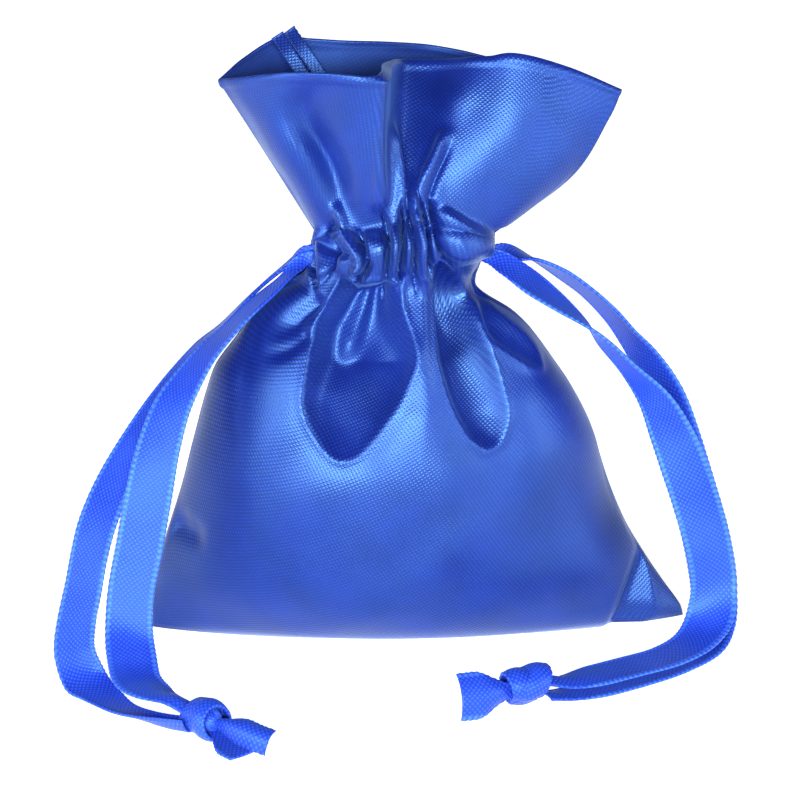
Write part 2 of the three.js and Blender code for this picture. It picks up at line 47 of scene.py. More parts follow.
# Cloth and ribbon.
CLOTH_THICK = 0.4
RIBBON_WIDTH = 6.4
RIBBON_THICK = 0.32
EXIT_SHARE = 0.28  # a ribbon leaves the casing gathered to this share of its width
KNOT_SHARE = 0.5  # and narrows like that towards its knot
KNOT_CUP = 14  # its edges bend out of its plane over this length before the knot
TAIL_SHARE, TAIL_LENGTH = 0.3, 5.5
TAIL_CUP = 3  # a tail's edges bend out of its plane over this length after the knot
PICOT = 0.8  # spacing of the loops along a ribbon's edge
PICOT_HEIGHT = 0.1
DASH_FROM = (2.45, 2.7)  # the loops show from here outwards, from the middle
DASH_SOFT = 0.3  # how gently a loop's colour begins and ends
DASH_BETWEEN = 0.3  # the share of that colour between the loops
# The columns across a ribbon, as shares of its half width.
ACROSS = np.array([-1, -0.97, -0.93, -0.87, -0.75, -0.5, -0.25, 0, 0.25, 0.5, 0.75, 0.87, 0.93, 0.97, 1])
BEAD = (0.86, 0.93, 1.0)  # where across the bead along an edge starts, is thickest and ends
BEAD_RISE = 0.5
CUP_LEVEL = 0.35  # a bent band crosses its plane where the square of that share is this

# How finely things are made.
COLUMNS = 200
BASE_ROWS = 6
SACK_ROWS = (36, 104)  # below and above SACK_SPLIT
SACK_SPLIT = 26.0
RUFFLE_ROWS = 56
RIM_ROWS = 4
HEM_ROWS = 5  # rows of the rolled edge at the rim
HEM_HEIGHT = 0.22
FACING_GRID = (20, 161)
RIBBON_STEP = 0.2
MEASURE_STEPS = 200  # for the length of a ribbon
CURVE_STEPS = 40  # for each point of a curve
RIM_STEPS = 40
FOLD_STEPS = 24
RUN_STEPS = 40
TURN_STEPS = 30
CORE_GRID = (24, 33)

# Sections of sack and casing: left and right are the side seams, depth is that of either panel, lens
# the roundness (0.5 an ellipse, 1 a pointed lens) and slit half the seam's opening.
SECTION_COLUMNS = ("z", "left", "right", "depth", "lens", "slit")
SECTIONS = np.array([
    (0, -37.2, 37.2, 6.6, 0.85, 0),
    (1.5, -37.1, 36.8, 10.4, 0.9, 0),
    (5, -36.9, 34.4, 13.4, 0.85, 0),
    (9, -36.2, 31.8, 14.8, 0.75, 0),
    (14, -34.8, 28.9, 15.4, 0.66, 0),
    (20, -32.9, 26.4, 15.5, 0.58, 0),
    (28, -30.6, 23.8, 15.2, 0.52, 0),
    (34, -29.1, 21.0, 14.4, 0.5, 0),
    (38, -27.7, 18.4, 13.3, 0.5, 0),
    (42, -24.8, 15.6, 11.8, 0.5, 0),
    (45.5, -22.6, 12.6, 10.0, 0.5, 0),
    (48.5, -20.6, 9.2, 8.9, 0.5, 0),
    (50.4, -19.1, 7.8, 8.4, 0.5, 0),
    (52.6, -17.2, 7.7, 7.9, 0.5, 0.2),
    (54.2, -15.8, 7.9, 7.4, 0.5, 1.2),
    (56.4, -14.6, 8.5, 7.7, 0.5, 1.4),
    (58.2, -14.3, 9.6, 7.4, 0.5, 1.0),
    (59.2, -14.0, 10.0, 7.2, 0.5, 0.3),
    (60, -13.8, 10.3, 7.4, 0.5, 0),
])
CASING_HIGH = 60.0
SEAM_GAP = 0.15
RUFFLE_CROSSING = 5.0  # how far a fold of the ruffle may reach past the seams' plane at the rim
SEAM_FADE = 0.07  # folds die out over this share of a panel's half width at the seams
ROUND = 0.5  # the lens value of an ellipse
POINTED = 0.9  # the lens value of a pointed section
LENS_SPREAD = 0.7  # how far a pointed section's columns are spaced evenly
FOLD_SHARE = 0.96  # the bottom fold is this share of the base's length
DROOP = 4.0  # the casing hangs this much lower at the seams than in front
DROOP_FROM = 42.0

# The ruffle by its levels, from above the casing (share 0) out to the rim (share 1): s, x, y, z,
# where s runs from -1 at the left seam to 1 at the right seam.
RUFFLE = {
    "front": {
        0.35: [
            (-1, -19.2, -0.15, 65), (-0.8, -17.7, -4.4, 65.8), (-0.6, -14.9, -6.2, 66.4),
            (-0.45, -11.7, -4.6, 66.6), (-0.3, -9, -8.4, 66.7), (-0.2, -6.1, -9.8, 66.7),
            (-0.13, -5.2, -7.8, 66.7), (-0.05, -3.7, -6, 66.8), (0.05, -1.9, -4.4, 66.8),
            (0.15, 0.9, -5.4, 66.9), (0.3, 3.6, -5.6, 66.8), (0.5, 8.8, -5.4, 66.2),
            (0.75, 15.8, -3.8, 64.5), (1, 20.6, -0.15, 63.6),
        ],
        0.68: [
            (-1, -23.5, -0.15, 72.1), (-0.8, -21.7, -4.4, 73), (-0.6, -18.7, -6.9, 73.8),
            (-0.45, -15, -6, 74), (-0.3, -10.5, -10, 74.2), (-0.2, -6.3, -11, 74.2),
            (-0.13, -5.2, -7.4, 74.3), (-0.05, -4.3, -4, 74), (0.05, -1.8, -0.6, 73.6),
            (0.15, 1.6, -0.6, 73.6), (0.3, 6, -2.6, 74.2), (0.5, 11.2, -3.6, 74),
            (0.75, 18.5, -2.4, 72.6), (1, 25.4, -0.15, 71.4),
        ],
        1.0: [
            (-1, -26.8, -0.15, 77.4), (-0.8, -24.3, -3.4, 78.4), (-0.6, -18.5, -8.4, 80.1),
            (-0.45, -14.2, -11.2, 80.5), (-0.3, -9.8, -12.6, 80.4), (-0.2, -6.6, -12, 80.3),
            (-0.13, -5.3, -9.6, 80.5), (-0.05, -4.8, -3.6, 80.3), (0.05, -2.4, 2.6, 79.3),
            (0.15, 2, 3.6, 79.1), (0.3, 7.4, 0.6, 79.8), (0.5, 12.4, -1.6, 80.9),
            (0.75, 19.6, -1.2, 78.9), (1, 27.1, -0.15, 75.4),
        ],
    },
    "back": {
        0.35: [
            (-1, -19.2, 0.15, 65), (-0.6, -14.6, 5.6, 66.6), (-0.3, -8.4, 7.4, 66.9),
            (0, -2.2, 8, 66.9), (0.3, 4.2, 7.6, 66.8), (0.6, 11.5, 6.2, 66.2),
            (1, 20.6, 0.15, 63.6),
        ],
        0.68: [
            (-1, -23.5, 0.15, 72.1), (-0.6, -17.6, 7.6, 74.2), (-0.3, -9.6, 8.2, 74.3),
            (0, -1, 9.6, 74), (0.3, 6.6, 9.4, 73.8), (0.6, 14.4, 7.2, 73.4),
            (1, 25.4, 0.15, 71.4),
        ],
        1.0: [
            (-1, -26.8, 0.15, 77.4), (-0.84, -23.4, 4.2, 79.4), (-0.64, -18.2, 8.4, 81.4),
            (-0.5, -14.4, 9.6, 80.8), (-0.3, -9.5, 9, 80.6), (-0.1, -4.2, 9.8, 80.2),
            (0.1, 1.5, 12.2, 79.2), (0.28, 6.5, 11, 78.6), (0.44, 11, 7.6, 78.2),
            (0.62, 16, 6.4, 77.4), (0.78, 21, 5.6, 76.4), (0.9, 24.6, 3.4, 75.6),
            (1, 27.1, 0.15, 75.4),
        ],
    },
}

# Scoops that the gathers leave in the sack: the depth, how far the wall takes to fall from the left rim
# and from the right one, how far the cloth has rolled down there, and the x, z points of both rims.
SCOOPS = {
    "front": [
        (9.4, 1.1, 2.6, 0.9,
         [(-10.2, 53.3), (-12.6, 49.3), (-14.4, 46.5), (-15.4, 43.3), (-16.1, 39.7),
          (-16.5, 36.3), (-15.8, 33.4), (-14.1, 30.5), (-12.4, 28.8), (-11.1, 28.4)],
         [(-2.9, 51.2), (-2.6, 48.3), (-1.7, 45.1), (-1, 42.2), (-1.8, 39.7),
          (-3.2, 36.9), (-6.3, 32.4), (-9, 29.4), (-11.1, 28.4)]),
        (7.4, 0.9, 2.1, 0.85,
         [(1.6, 52.4), (1.9, 48), (1.9, 44.3), (2.2, 41.1), (4, 35.3), (6, 31.5),
          (8.4, 29.1)],
         [(2, 55.5), (6.2, 49.6), (8.1, 45.4), (8.8, 43.5), (10.1, 40.2),
          (11.2, 36), (11.5, 33.5), (10.4, 30.2), (8.4, 29.1)]),
        (1.8, 0.9, 1.4, 0.3,
         [(7.9, 47.5), (8.8, 44.1), (11.2, 41.6), (14.4, 39.1), (16.2, 38.4)],
         [(7.9, 48.8), (10.7, 45.7), (14.3, 42.4), (15.7, 40.4), (16.2, 38.4)]),
    ],
    "back": [
        (3.4, 1.6, 2.4, 0.9,
         [(-11.6, 51.5), (-16.5, 45.5), (-20.6, 38.5), (-19.6, 33), (-16, 30.5)],
         [(-8.4, 51.5), (-8.8, 45), (-9.6, 38.5), (-12.2, 32.8), (-16, 30.5)]),
        (4, 2.6, 1.4, 0.9,
         [(-5, 51.5), (-5.8, 45.5), (-7.2, 37.5), (-5.6, 30.4), (-1.8, 26.6)],
         [(0.4, 51.5), (2.4, 45), (4.2, 37.5), (2.6, 30), (-1.8, 26.6)]),
        (3.2, 1.4, 2.6, 0.9,
         [(3.4, 51.5), (5.6, 45), (7.6, 38), (8.8, 33), (11.8, 30.6)],
         [(6.4, 51.5), (10, 45.5), (14.4, 39), (14.8, 34), (11.8, 30.6)]),
    ],
}
SCOOP_FADE = (-0.6, 0.1)  # a scoop dies out between these heights from the casing's lower stitches
SCOOP_FOOT = 0.2  # share of the depth at a scoop's lowest point; it deepens upwards
SINK_WIDTH = 3.0  # how far outside a rim the cloth begins to roll towards it
RIM_EDGE = 0.3  # the height of the crease along a rim
RIM_WIDTH = 0.6

# Slack of the cloth: the direction, wavelength and size of its waves, and the slant of the slower
# waves that bend them.
SLACK = [(15, 24, 0.14, -0.7597), (70, 19, 0.13, 0.6333), (125, 14, 0.08, 0.7877), (160, 9, 0.04, -0.9756)]
SLACK_PHASE = 1.7  # from one wave to the next
SLACK_BEND = dict(stretch=2.3, phase=2.1, size=1.2)
SLACK_RISE = (1, 6)  # the heights over which the slack sets in above the base

# Single folds: the height of the crest (a valley below 0), the widths to its left and right seen from
# its first point, the shares of its length that fade at its ends, and its x, z points.
FOLDS = {
    "front": [
        # ridges and tongues above the scoops
        (0.9, 1.6, 1.6, (0.05, 0.45),
         [(0.1, 53.6), (0, 48.8), (-0.3, 45.1), (-0.7, 41.9), (-0.7, 35.5)]),
        (2.2, 1.5, 2.6, (0.1, 0.35),
         [(-7.2, 51.8), (-8.6, 48.4), (-10.8, 44.8), (-13.6, 42.6)]),
        (1.5, 1, 1.3, (0.1, 0.5),
         [(-3.6, 52.6), (-3.4, 47.7), (-2.4, 43.6)]),
        # creases that run down from the casing's left end
        (-1.5, 1, 1.7, (0.15, 0.5),
         [(-13.4, 49.8), (-16, 47.4), (-18.8, 45), (-22, 43.2)]),
        (-0.9, 0.8, 1.4, (0.2, 0.5),
         [(-15.2, 45.6), (-17.4, 43.4), (-19.6, 42), (-22.4, 41.2)]),
        # the curled roll at the left, what runs into it from above and the shade under it
        (1.8, 0.8, 0.8, (0.1, 0.1),
         [(-14.2, 56.8), (-12.6, 57.4), (-10.8, 57.4), (-9.4, 56.7), (-8.4, 55.5), (-8.2, 54.4),
          (-8.8, 53.7), (-9.8, 54)]),
        (1.2, 1, 0.6, (0.25, 0.1),
         [(-12.2, 61.8), (-11, 60), (-10, 58.4), (-9.4, 57)]),
        (-1.3, 0.5, 0.7, (0.2, 0.15),
         [(-13.8, 55.4), (-11.8, 55.7), (-10.2, 55.6), (-9.6, 54.9)]),
        # the ruffle
        (0.9, 2.6, 0.45, (0.02, 0.15),
         [(-5.9, 80.2), (-6, 74), (-6.1, 67), (-6.4, 60.5)]),
        (1.3, 0.8, 0.7, (0.3, 0.15),
         [(-4.6, 73.7), (-4.1, 69.9), (-3.3, 65.7), (-3, 60.4)]),
        (1.5, 0.9, 0.8, (0.25, 0.15),
         [(3.9, 71.8), (2.1, 68.4), (0.3, 64.8), (-0.9, 61.2)]),
        (-0.9, 0.5, 0.5, (0.3, 0.2),
         [(4.2, 71.2), (3, 68), (1.4, 64.6), (0.4, 61.6)]),
        (0.7, 1.8, 2.4, (0.1, 0.4),
         [(8.2, 81.2), (6.7, 77.1), (3.7, 73.7), (2.5, 71.2)]),
        # a dent at the left seam
        (-0.9, 1.4, 1.8, (0.2, 0.5),
         [(-33.9, 16.8), (-32, 15.9), (-29, 15.6)]),
    ],
    "back": [],
}

# The ear at the right end of the base lies flat: the z, x of the crease before it, the depth it is
# pressed to at its foot, how much it leans back, the heights where it ends, and the crease's width.
EAR = dict(crease=[(0, 25.6), (3, 26.9), (10.6, 30), (16, 31.4)], foot=2.5, foot_height=3,
           lean=0.26, top=(10.5, 13.5), width=(-0.4, 1.3))

# Stitch rows that hold the casing, x and z.
STITCHES = {
    "front": {
        "low": [(-15, 50.4), (-12, 53.2), (-9.4, 51.4), (-6, 51.4), (-4.8, 51.6), (-3, 53.2),
                (0.8, 52.8), (2.2, 54.4), (5, 54.2), (8.2, 54.7), (10.2, 51.4)],
        "high": [(-15, 56.4), (-13, 58.2), (-11.2, 58.3), (-9, 57.8), (-5.5, 58.1), (-2.9, 59.8),
                 (0.4, 62), (3.4, 61), (6.1, 59), (9.3, 57.1), (10.6, 56.4)],
    },
    "back": {
        "low": [(-15, 50.4), (-11, 52.2), (-2.4, 53.4), (6, 52.2), (10.2, 50.4)],
        "high": [(-15, 56.2), (-11, 58.4), (-2.4, 59.8), (6, 58.4), (10.4, 55.8)],
    },
}
STITCH_DENT = 0.35
STITCH_WIDTH = 0.45

# Pleats of the casing: the x of the valley at a pleat's left, at each of PLEAT_LEVELS, the pleat's
# height, how flat its crown is, and how far it reaches below and above the stitch rows.
PLEAT_LEVELS = (51, 54, 57, 60, 63)
BACK_FLARE, BACK_SHIFT = 1.3, 0.7  # how the back's pleats spread at the top level
PLEATS = {
    "front": [
        ((-14.9, -15, -15.2, -14.6, -17.5), 0.3, 2, 1, 0),
        ((-12.6, -12.4, -12, -11.6, -12.5), 0.2, 3, 1, 0.5),
        ((-8.6, -7.2, -8.1, -9.7, -10.6), 0.7, 4, 1, 0),
        ((-4.9, -4.8, -4.5, -5.3, -6), 1.4, 2, 4, 4),
        ((-3, -3.1, -2.8, -2.5, -3.2), 0.9, 2, 3, 1),
        ((-0.9, -1, -1.1, -1.9, -2.4), 1.8, 2, 4, 5),
        ((1.6, 0.6, 0.7, 0.2, -0.4), 0.6, 2, 2, 1),
        ((4.4, 3.2, 1.9, 1.2, 0.6), 1.5, 2.8, 2, 0),
        ((10.4, 10.5, 10.8, 10.8, 14), 0, 2, 0, 0),
    ],
    "back": [
        ((x, x, x, x, BACK_FLARE * x + BACK_SHIFT), height, 2, 1, 1.5)
        for x, height in ((-15, 0.5), (-13.2, 1.2), (-10.4, 0.8), (-7.6, 1.5), (-4.6, 0.9), (-2.2, 1.4),
                          (0.8, 0.8), (3.4, 1.5), (6.6, 1), (9.2, 0.4), (10.6, 0))
    ],
}
PLEAT_VALLEY = 3.4  # depth of the valleys between the pleats
PLEAT_START = 0.5  # a pleat is whole this far above the lower stitches
PLEAT_END = (-0.3, 0.7)  # and dies out between these heights from the upper ones

# Ribbon strands from the casing to their knot: how far the edges bend out of the plane towards the
# knot, over what length a strand spreads from the casing and narrows to the knot, what it holds on
# its end, and its route, each point a centre and a direction across.
STRANDS = {
    "ribbon_left_front": dict(cup=0.8, spread=20, taper=9, holds=("knot_left", "tail_left_upper"), route=[
        ((-13.8, -0.7, 53.2), (0, 0.1, 1)), ((-15.8, -1.1, 52.8), (-0.07, 0.4, 0.9)),
        ((-18, -2.7, 51.1), (-0.15, 0.96, 0.06)), ((-20.2, -4.7, 49.7), (-0.16, 0.98, 0)),
        ((-22.9, -6.8, 48), (-0.2, 0.97, -0.05)), ((-26.1, -9.2, 45.5), (-0.2, 0.97, -0.08)),
        ((-29, -11.2, 43), (-0.28, 0.95, 0.02)), ((-31.9, -13, 39.4), (-0.48, 0.86, 0.12)),
        ((-33.8, -14.4, 36.4), (-0.66, 0.72, 0.15)), ((-35.6, -16.3, 31.5), (-0.82, 0.53, 0.12)),
        ((-37, -18, 25.5), (-0.94, 0.32, 0.06)), ((-38.3, -19.2, 19), (-0.94, 0.32, 0.03)),
        ((-39.6, -20.3, 12.6), (-0.93, 0.34, 0)), ((-39.9, -22.2, 7.8), (-0.95, 0.25, 0)),
        ((-39.5, -25.6, 5.4), (-0.98, 0, -0.05)), ((-38.8, -29.6, 4.2), (-0.9, -0.4, 0)),
        ((-36.6, -33.8, 4.2), (-0.8, -0.55, 0.1)), ((-33.9, -36.7, 4.4), (-0.7, -0.65, 0.2)),
        ((-31.7, -38.3, 3.8), (-0.65, -0.7, 0.1)),
    ]),
    "ribbon_left_back": dict(cup=-1.6, spread=20, taper=30, holds=("tail_left_lower",), route=[
        ((-13.8, 0.7, 53.6), (0, 0.1, 1)), ((-15.4, 1.1, 53.2), (0, 0.3, 0.95)),
        ((-17.4, 2.4, 51.5), (0.03, 0.95, 0)), ((-20.3, 2.3, 49.2), (0.05, 0.95, -0.2)),
        ((-23.3, 1, 46.8), (0.03, 0.95, -0.22)), ((-26.6, -1.3, 44), (-0.05, 0.95, -0.2)),
        ((-29.7, -3.4, 41.6), (-0.15, 0.95, -0.1)), ((-32.8, -5.8, 38.2), (-0.3, 0.92, 0)),
        ((-35.9, -8.6, 34.3), (-0.45, 0.85, 0.08)), ((-39.1, -10.8, 29.7), (-0.55, 0.8, 0.12)),
        ((-41.9, -12.6, 25), (-0.62, 0.74, 0.15)), ((-44, -14.6, 20.4), (-0.68, 0.7, 0.14)),
        ((-45.1, -16.2, 16.6), (-0.7, 0.7, 0.1)), ((-46, -17.8, 12.4), (-0.72, 0.68, 0.06)),
        ((-46.9, -19.6, 8.7), (-0.74, 0.66, 0.03)), ((-47.2, -22, 5.4), (-0.8, 0.58, 0)),
        ((-45.9, -24.8, 2.6), (-0.92, 0.35, 0)), ((-43.5, -28, 1.5), (-0.95, -0.1, 0)),
        ((-40.8, -31.8, 1.1), (-0.8, -0.55, 0.1)), ((-37.7, -35.2, 1.2), (-0.68, -0.7, 0.15)),
        ((-34.6, -38.2, 1.5), (-0.6, -0.75, 0.2)), ((-32, -40.3, 1.9), (-0.55, -0.8, 0.2)),
    ]),
    "ribbon_right_front": dict(cup=0.8, spread=11, taper=9, holds=("knot_right", "tail_right_front"), route=[
        ((7.6, -0.7, 53.4), (0, 0.1, 1)), ((10.2, -1.4, 52.8), (0.15, 0.55, 0.8)),
        ((12.5, -2.8, 51.6), (0.33, 0.85, 0.38)), ((15.6, -4.4, 49.5), (0.36, 0.92, 0.14)),
        ((18.7, -5.8, 47.4), (0.3, 0.95, -0.02)), ((21.8, -7, 45.1), (0.17, 0.95, -0.22)),
        ((24.2, -8, 42.7), (-0.05, 0.93, -0.38)), ((27.7, -9.2, 39.1), (-0.18, 0.88, -0.44)),
        ((31.2, -10.2, 34.9), (-0.5, 0.7, -0.5)), ((33.6, -10.9, 30), (-0.76, 0.42, -0.45)),
        ((35.5, -11.3, 25.1), (-0.88, 0.2, -0.4)), ((37.1, -11.4, 20.4), (-0.93, 0.05, -0.33)),
        ((38.8, -11.5, 14.4), (-0.97, -0.15, -0.15)), ((39.7, -11.6, 8.6), (-0.98, -0.1, -0.05)),
        ((38.9, -13.4, 4.6), (-0.95, 0.2, 0)), ((36.4, -17.2, 2.9), (-0.75, 0.65, 0)),
        ((32.3, -20.9, 2.3), (-0.55, 0.83, 0)), ((27.6, -23.7, 2.2), (-0.5, 0.86, 0)),
        ((22.5, -26.3, 2.2), (-0.5, 0.86, 0)), ((17.8, -28.9, 2.5), (-0.5, 0.86, 0)),
        ((14.8, -30.2, 3.4), (-0.45, 0.88, 0)),
    ]),
    "ribbon_right_back": dict(cup=0.3, spread=14, taper=9, holds=("tail_right_back",), route=[
        ((7.6, 0.7, 53.1), (0, 0.1, 1)), ((10.2, 1, 52.8), (0.05, 0.25, 0.95)),
        ((12.9, 2, 52.5), (0.1, 0.85, 0.3)), ((15.6, 2.5, 51.6), (0.05, 0.95, -0.25)),
        ((19.3, 2.1, 49.6), (-0.05, 0.9, -0.4)), ((22.8, 0.8, 47.3), (-0.08, 0.9, -0.42)),
        ((26.1, 0, 44.2), (-0.14, 0.87, -0.45)), ((28.5, -1.2, 41.2), (-0.23, 0.84, -0.48)),
        ((30.9, -3, 38), (-0.45, 0.7, -0.5)), ((33.2, -5.2, 33.8), (-0.65, 0.5, -0.48)),
        ((34.7, -6.8, 28.8), (-0.82, 0.25, -0.42)), ((36.2, -7.6, 23.8), (-0.9, 0.1, -0.36)),
        ((37.8, -8.1, 18.5), (-0.93, -0.1, -0.22)), ((39.1, -8.5, 12.8), (-0.94, -0.25, -0.08)),
        ((40.1, -9, 6.8), (-0.97, -0.1, -0.02)), ((39.6, -11.3, 3), (-0.95, 0.25, 0)),
        ((37.6, -15.6, 1.3), (-0.75, 0.65, 0)), ((33, -20.2, 0.8), (-0.55, 0.83, 0)),
        ((28, -23.8, 0.7), (-0.5, 0.86, 0)), ((22.7, -26.9, 0.7), (-0.5, 0.86, 0)),
        ((17.9, -29.4, 0.8), (-0.5, 0.86, 0)), ((14.8, -30.9, 1.3), (-0.48, 0.87, 0)),
    ]),
}

# Cut tails beyond the knots: how far their edges bend out of their plane, half their width, and routes
# like those of the strands.
TAILS = {
    "tail_left_upper": dict(cup=-1.4, half=1.8, route=[
        ((-29.2, -41.2, 3.2), (0.5, 0.6, 0.6)), ((-26.4, -44, 3.5), (0.5, 0.55, 0.67)),
        ((-23.9, -45.9, 3.1), (0.45, 0.6, 0.67)), ((-21.9, -46.8, 2.6), (0.45, 0.6, 0.67)),
    ]),
    "tail_left_lower": dict(cup=0.3, half=3.2, route=[
        ((-29, -41, 1.7), (0.6, 0.7, 0.3)), ((-26.7, -44, 1.2), (0.5, 0.85, 0.15)),
        ((-24.6, -46.6, 0.9), (0.47, 0.88, 0.08)),
    ]),
    "tail_right_front": dict(cup=1.3, half=3.1, route=[
        ((10.4, -33, 2.9), (-0.1, 0.1, 0.97)), ((7.4, -34.4, 3.1), (-0.2, 0.25, 0.93)),
        ((5, -35.2, 3.2), (-0.3, 0.33, 0.88)), ((3.2, -35.7, 3.3), (-0.36, 0.36, 0.85)),
    ]),
    "tail_right_back": dict(cup=0.4, half=2.2, route=[
        ((10.4, -31.8, 2.8), (-0.2, 0, 0.97)), ((7.4, -32.4, 2.9), (-0.25, 0.1, 0.96)),
        ((5.2, -32.6, 3), (-0.3, 0.2, 0.93)),
    ]),
}

# Knots: the middle, the direction along the ribbons, and the turns round it, each with its place
# along the knot, its lean, its radius and half its width.
KNOTS = {
    "knot_left": dict(place=(-29.9, -40, 3.05), along=(0.6, -0.8, 0), turns=[
        dict(at=-1, lean=0.35, radius=2.2, half=1.7),
        dict(at=0.9, lean=-0.2, radius=2.4, half=1.4),
    ]),
    "knot_right": dict(place=(11.7, -31.7, 3.05), along=(-0.93, -0.37, 0), turns=[
        dict(at=-0.8, lean=-0.55, radius=2.4, half=1.6),
        dict(at=0.6, lean=0.15, radius=2.2, half=1.8),
    ]),
}
KNOT_CORE = dict(radius=1.75, half_length=2.5, weave_radius=2)
TURN_CROWN = -0.45  # the edges of a turn bend in towards the knot
TURN_ANGLES = (1, 1.5, 2.9, 3.3)  # half turns where it starts, is clear of its tuck, dips and ends
TURN_INNER = 0.75  # the share of the radius where it is tucked under
TURN_DIP = 0.5  # the share of that tuck that its last end dips

# What the casing hides: the facing, and the ribbons folded lengthwise that run round outside it
# from the angle of their opening.
FACING = dict(left=-11.6, right=6.6, depth=4.6, low=54.2, high=58.6, pleats=13, pleat_height=0.3,
              weave_radius=7)
RUNS = {
    "ribbon_left_run": dict(opening=-math.pi / 2, height=57.3),
    "ribbon_right_run": dict(opening=math.pi / 2, height=55.3),
}
RUN_HALF = 0.9  # half the height of a folded ribbon
RUN_CUP = 0.5  # how far its edges bend
RUN_OUTSIDE = 0.7  # how far it runs outside the facing
RUN_GAP = 0.12  # the angle that it leaves free at either side of its opening

# Seam allowances that stand inside the ruffle: the points of each and its direction across.
ALLOWANCES = {
    "front": [],
    "back": [
        dict(across=(0.84, 0.1, 0.54), points=[
            (-18.7, 7.2, 81.9), (-17.2, 7.6, 79.4), (-15.4, 7.4, 76.6), (-13.2, 6.8, 73)]),
        dict(across=(0.8, 0.2, 0.56), points=[
            (-17.1, 7.7, 82.5), (-15.4, 8.3, 79.8), (-13.2, 8, 76.6), (-11, 7.2, 73.2)]),
    ],
}
ALLOWANCE_HALF = 0.85

# Finishes: the dark and light of the threads, the angle and period of each set of threads, how far
# the weave stands out, its index of refraction, and the colour of the loops along a ribbon's edges.
FINISHES = {
    "ribbon_weave": dict(
        colours=((0.003, 0.014, 0.27), (0.028, 0.085, 0.66)), weave=((45, 0.5), (-45, 0.5)), bump=1,
        roughness=0.42, sheen=0.15, anisotropy=0.3, refraction=1.45, dashes=(0.038, 0.12, 0.7)),
    "satin_weave": dict(
        colours=((0.0014, 0.0045, 0.058), (0.006, 0.018, 0.225)), weave=((63, 0.42), (-30, 0.48)),
        bump=0.75, roughness=0.38, sheen=0.2, anisotropy=0.3, refraction=1.56),
    # the wrong side of the cloth: rougher and with less sheen, as its own duller face, and darker in colour
    # as painted shade of the pouch's inside
    "satin_inside_shaded": dict(
        colours=((0.0035, 0.01, 0.085), (0.009, 0.023, 0.17)), weave=((63, 0.46), (-30, 0.52)), bump=0.6,
        roughness=0.6, sheen=0.05, anisotropy=0, refraction=1.4),
}
BUMP_DEPTH = 0.03
CLOUD = dict(scale=0.12, detail=3)  # broad unevenness of the cloth's tone and gloss
TONE_RANGE = (0.2, 1.5)  # threads and clouds together, from the dark colour to the light one
GLOSS_RANGE = (0.3, 0.7)  # the clouds that change the roughness
GLOSS_SPREAD = 0.04  # by this much either way
SHEEN_ROUGHNESS = 0.4
SHEEN_TINT = (0.2, 0.45, 1, 1)
GLOSS_TINT = (0.17, 0.42, 1, 1)
WAVE_RADIANS = 20  # a wave texture of scale 1 turns by this over one unit

# Floor, lights and world, in metres and watts.
FLOOR = dict(size=8, drop=0.0002, colour=(0.92, 0.92, 0.92, 1), roughness=0.8, glow=0.84)
LIGHTS = [
    dict(name="softbox_left", place=(-0.62, -0.50, 0.22), target=(0, 0, 0.03), size=(0.7, 0.4), power=7),
    dict(name="softbox_right", place=(0.62, -0.36, 0.18), target=(0, 0, 0.03), size=(0.35, 0.3), power=2.6),
    dict(name="softbox_front", place=(-0.05, -0.79, 0.215), target=(0, 0, 0.04), size=(0.45, 0.12),
         power=11),
]
WHITE = (1, 1, 1, 1)
HORIZON_RANGE = (0.05, 0.5)  # from the horizon's glow to the dark above, as the sine of the height
HORIZON_GLOW = (0.7, 0.05)

# The camera, at the picture's angle to the pouch.
CAMERA_AZIMUTH = -3.4
CAMERA_ELEVATION = 18.0
CAMERA_DISTANCE = 0.48
CAMERA_TARGET = Vector((-0.0026, 0, 0.0324))
VIEW_WIDTH = 0.1096  # what the square picture spans at the target
SENSOR = 36.0
CLIP_START = 0.01


# Curves and tables.
def smooth(low, high, value):
    share = np.clip((value - low) / (high - low), 0, 1)
    return share * share * (3 - 2 * share)


def cubic(xs, ys, x):
    """A cubic through the points xs, ys, read at x."""
    k = np.clip(np.searchsorted(xs, x) - 1, 0, len(xs) - 2)
    before = np.maximum(k - 1, 0)
    after = np.minimum(k + 2, len(xs) - 1)
    span = xs[k + 1] - xs[k]
    t = np.clip((x - xs[k]) / span, 0, 1)
    slope_a = (ys[k + 1] - ys[before]) / (xs[k + 1] - xs[before]) * span
    slope_b = (ys[after] - ys[k]) / (xs[after] - xs[k]) * span
    drop = ys[k] - ys[k + 1]
    bend = t * t * (-3 * drop - 2 * slope_a - slope_b) + t ** 3 * (2 * drop + slope_a + slope_b)
    return ys[k] + t * slope_a + bend


def cubic_rows(xs, rows, x):
    """The same through whole rows of points."""
    flat = rows.reshape(len(rows), -1)
    return np.stack([cubic(xs, column, x) for column in flat.T], -1).reshape(len(x), *rows.shape[1:])


def side_by_side(*values):
    """Values of shapes that fit each other, along a new last axis."""
    return np.stack(np.broadcast_arrays(*values), -1)


def gaps(points, axis=0):
    """The distance from each point to the next."""
    return np.linalg.norm(np.diff(points, axis=axis), axis=-1)


def section(column, z):
    return cubic(SECTIONS[:, 0], SECTIONS[:, SECTION_COLUMNS.index(column)], z)


def spline(points, count):
    """A smooth curve through points of any width, at count places evenly spaced by arc length of
    the first three columns."""
    points = np.asarray(points, float)
    steps = np.sqrt(gaps(points[:, :3]))
    knots = np.concatenate([[0], np.cumsum(steps)])
    fine = np.linspace(0, knots[-1], CURVE_STEPS * len(points))
    curve = np.stack([cubic(knots, column, fine) for column in points.T], -1)
    arc = np.concatenate([[0], np.cumsum(gaps(curve[:, :3]))])
    at = np.linspace(0, arc[-1], count)
    return np.stack([np.interp(at, arc, column) for column in curve.T], -1)


def unit(vectors):
    return vectors / np.maximum(np.linalg.norm(vectors, axis=-1, keepdims=True), TINY)


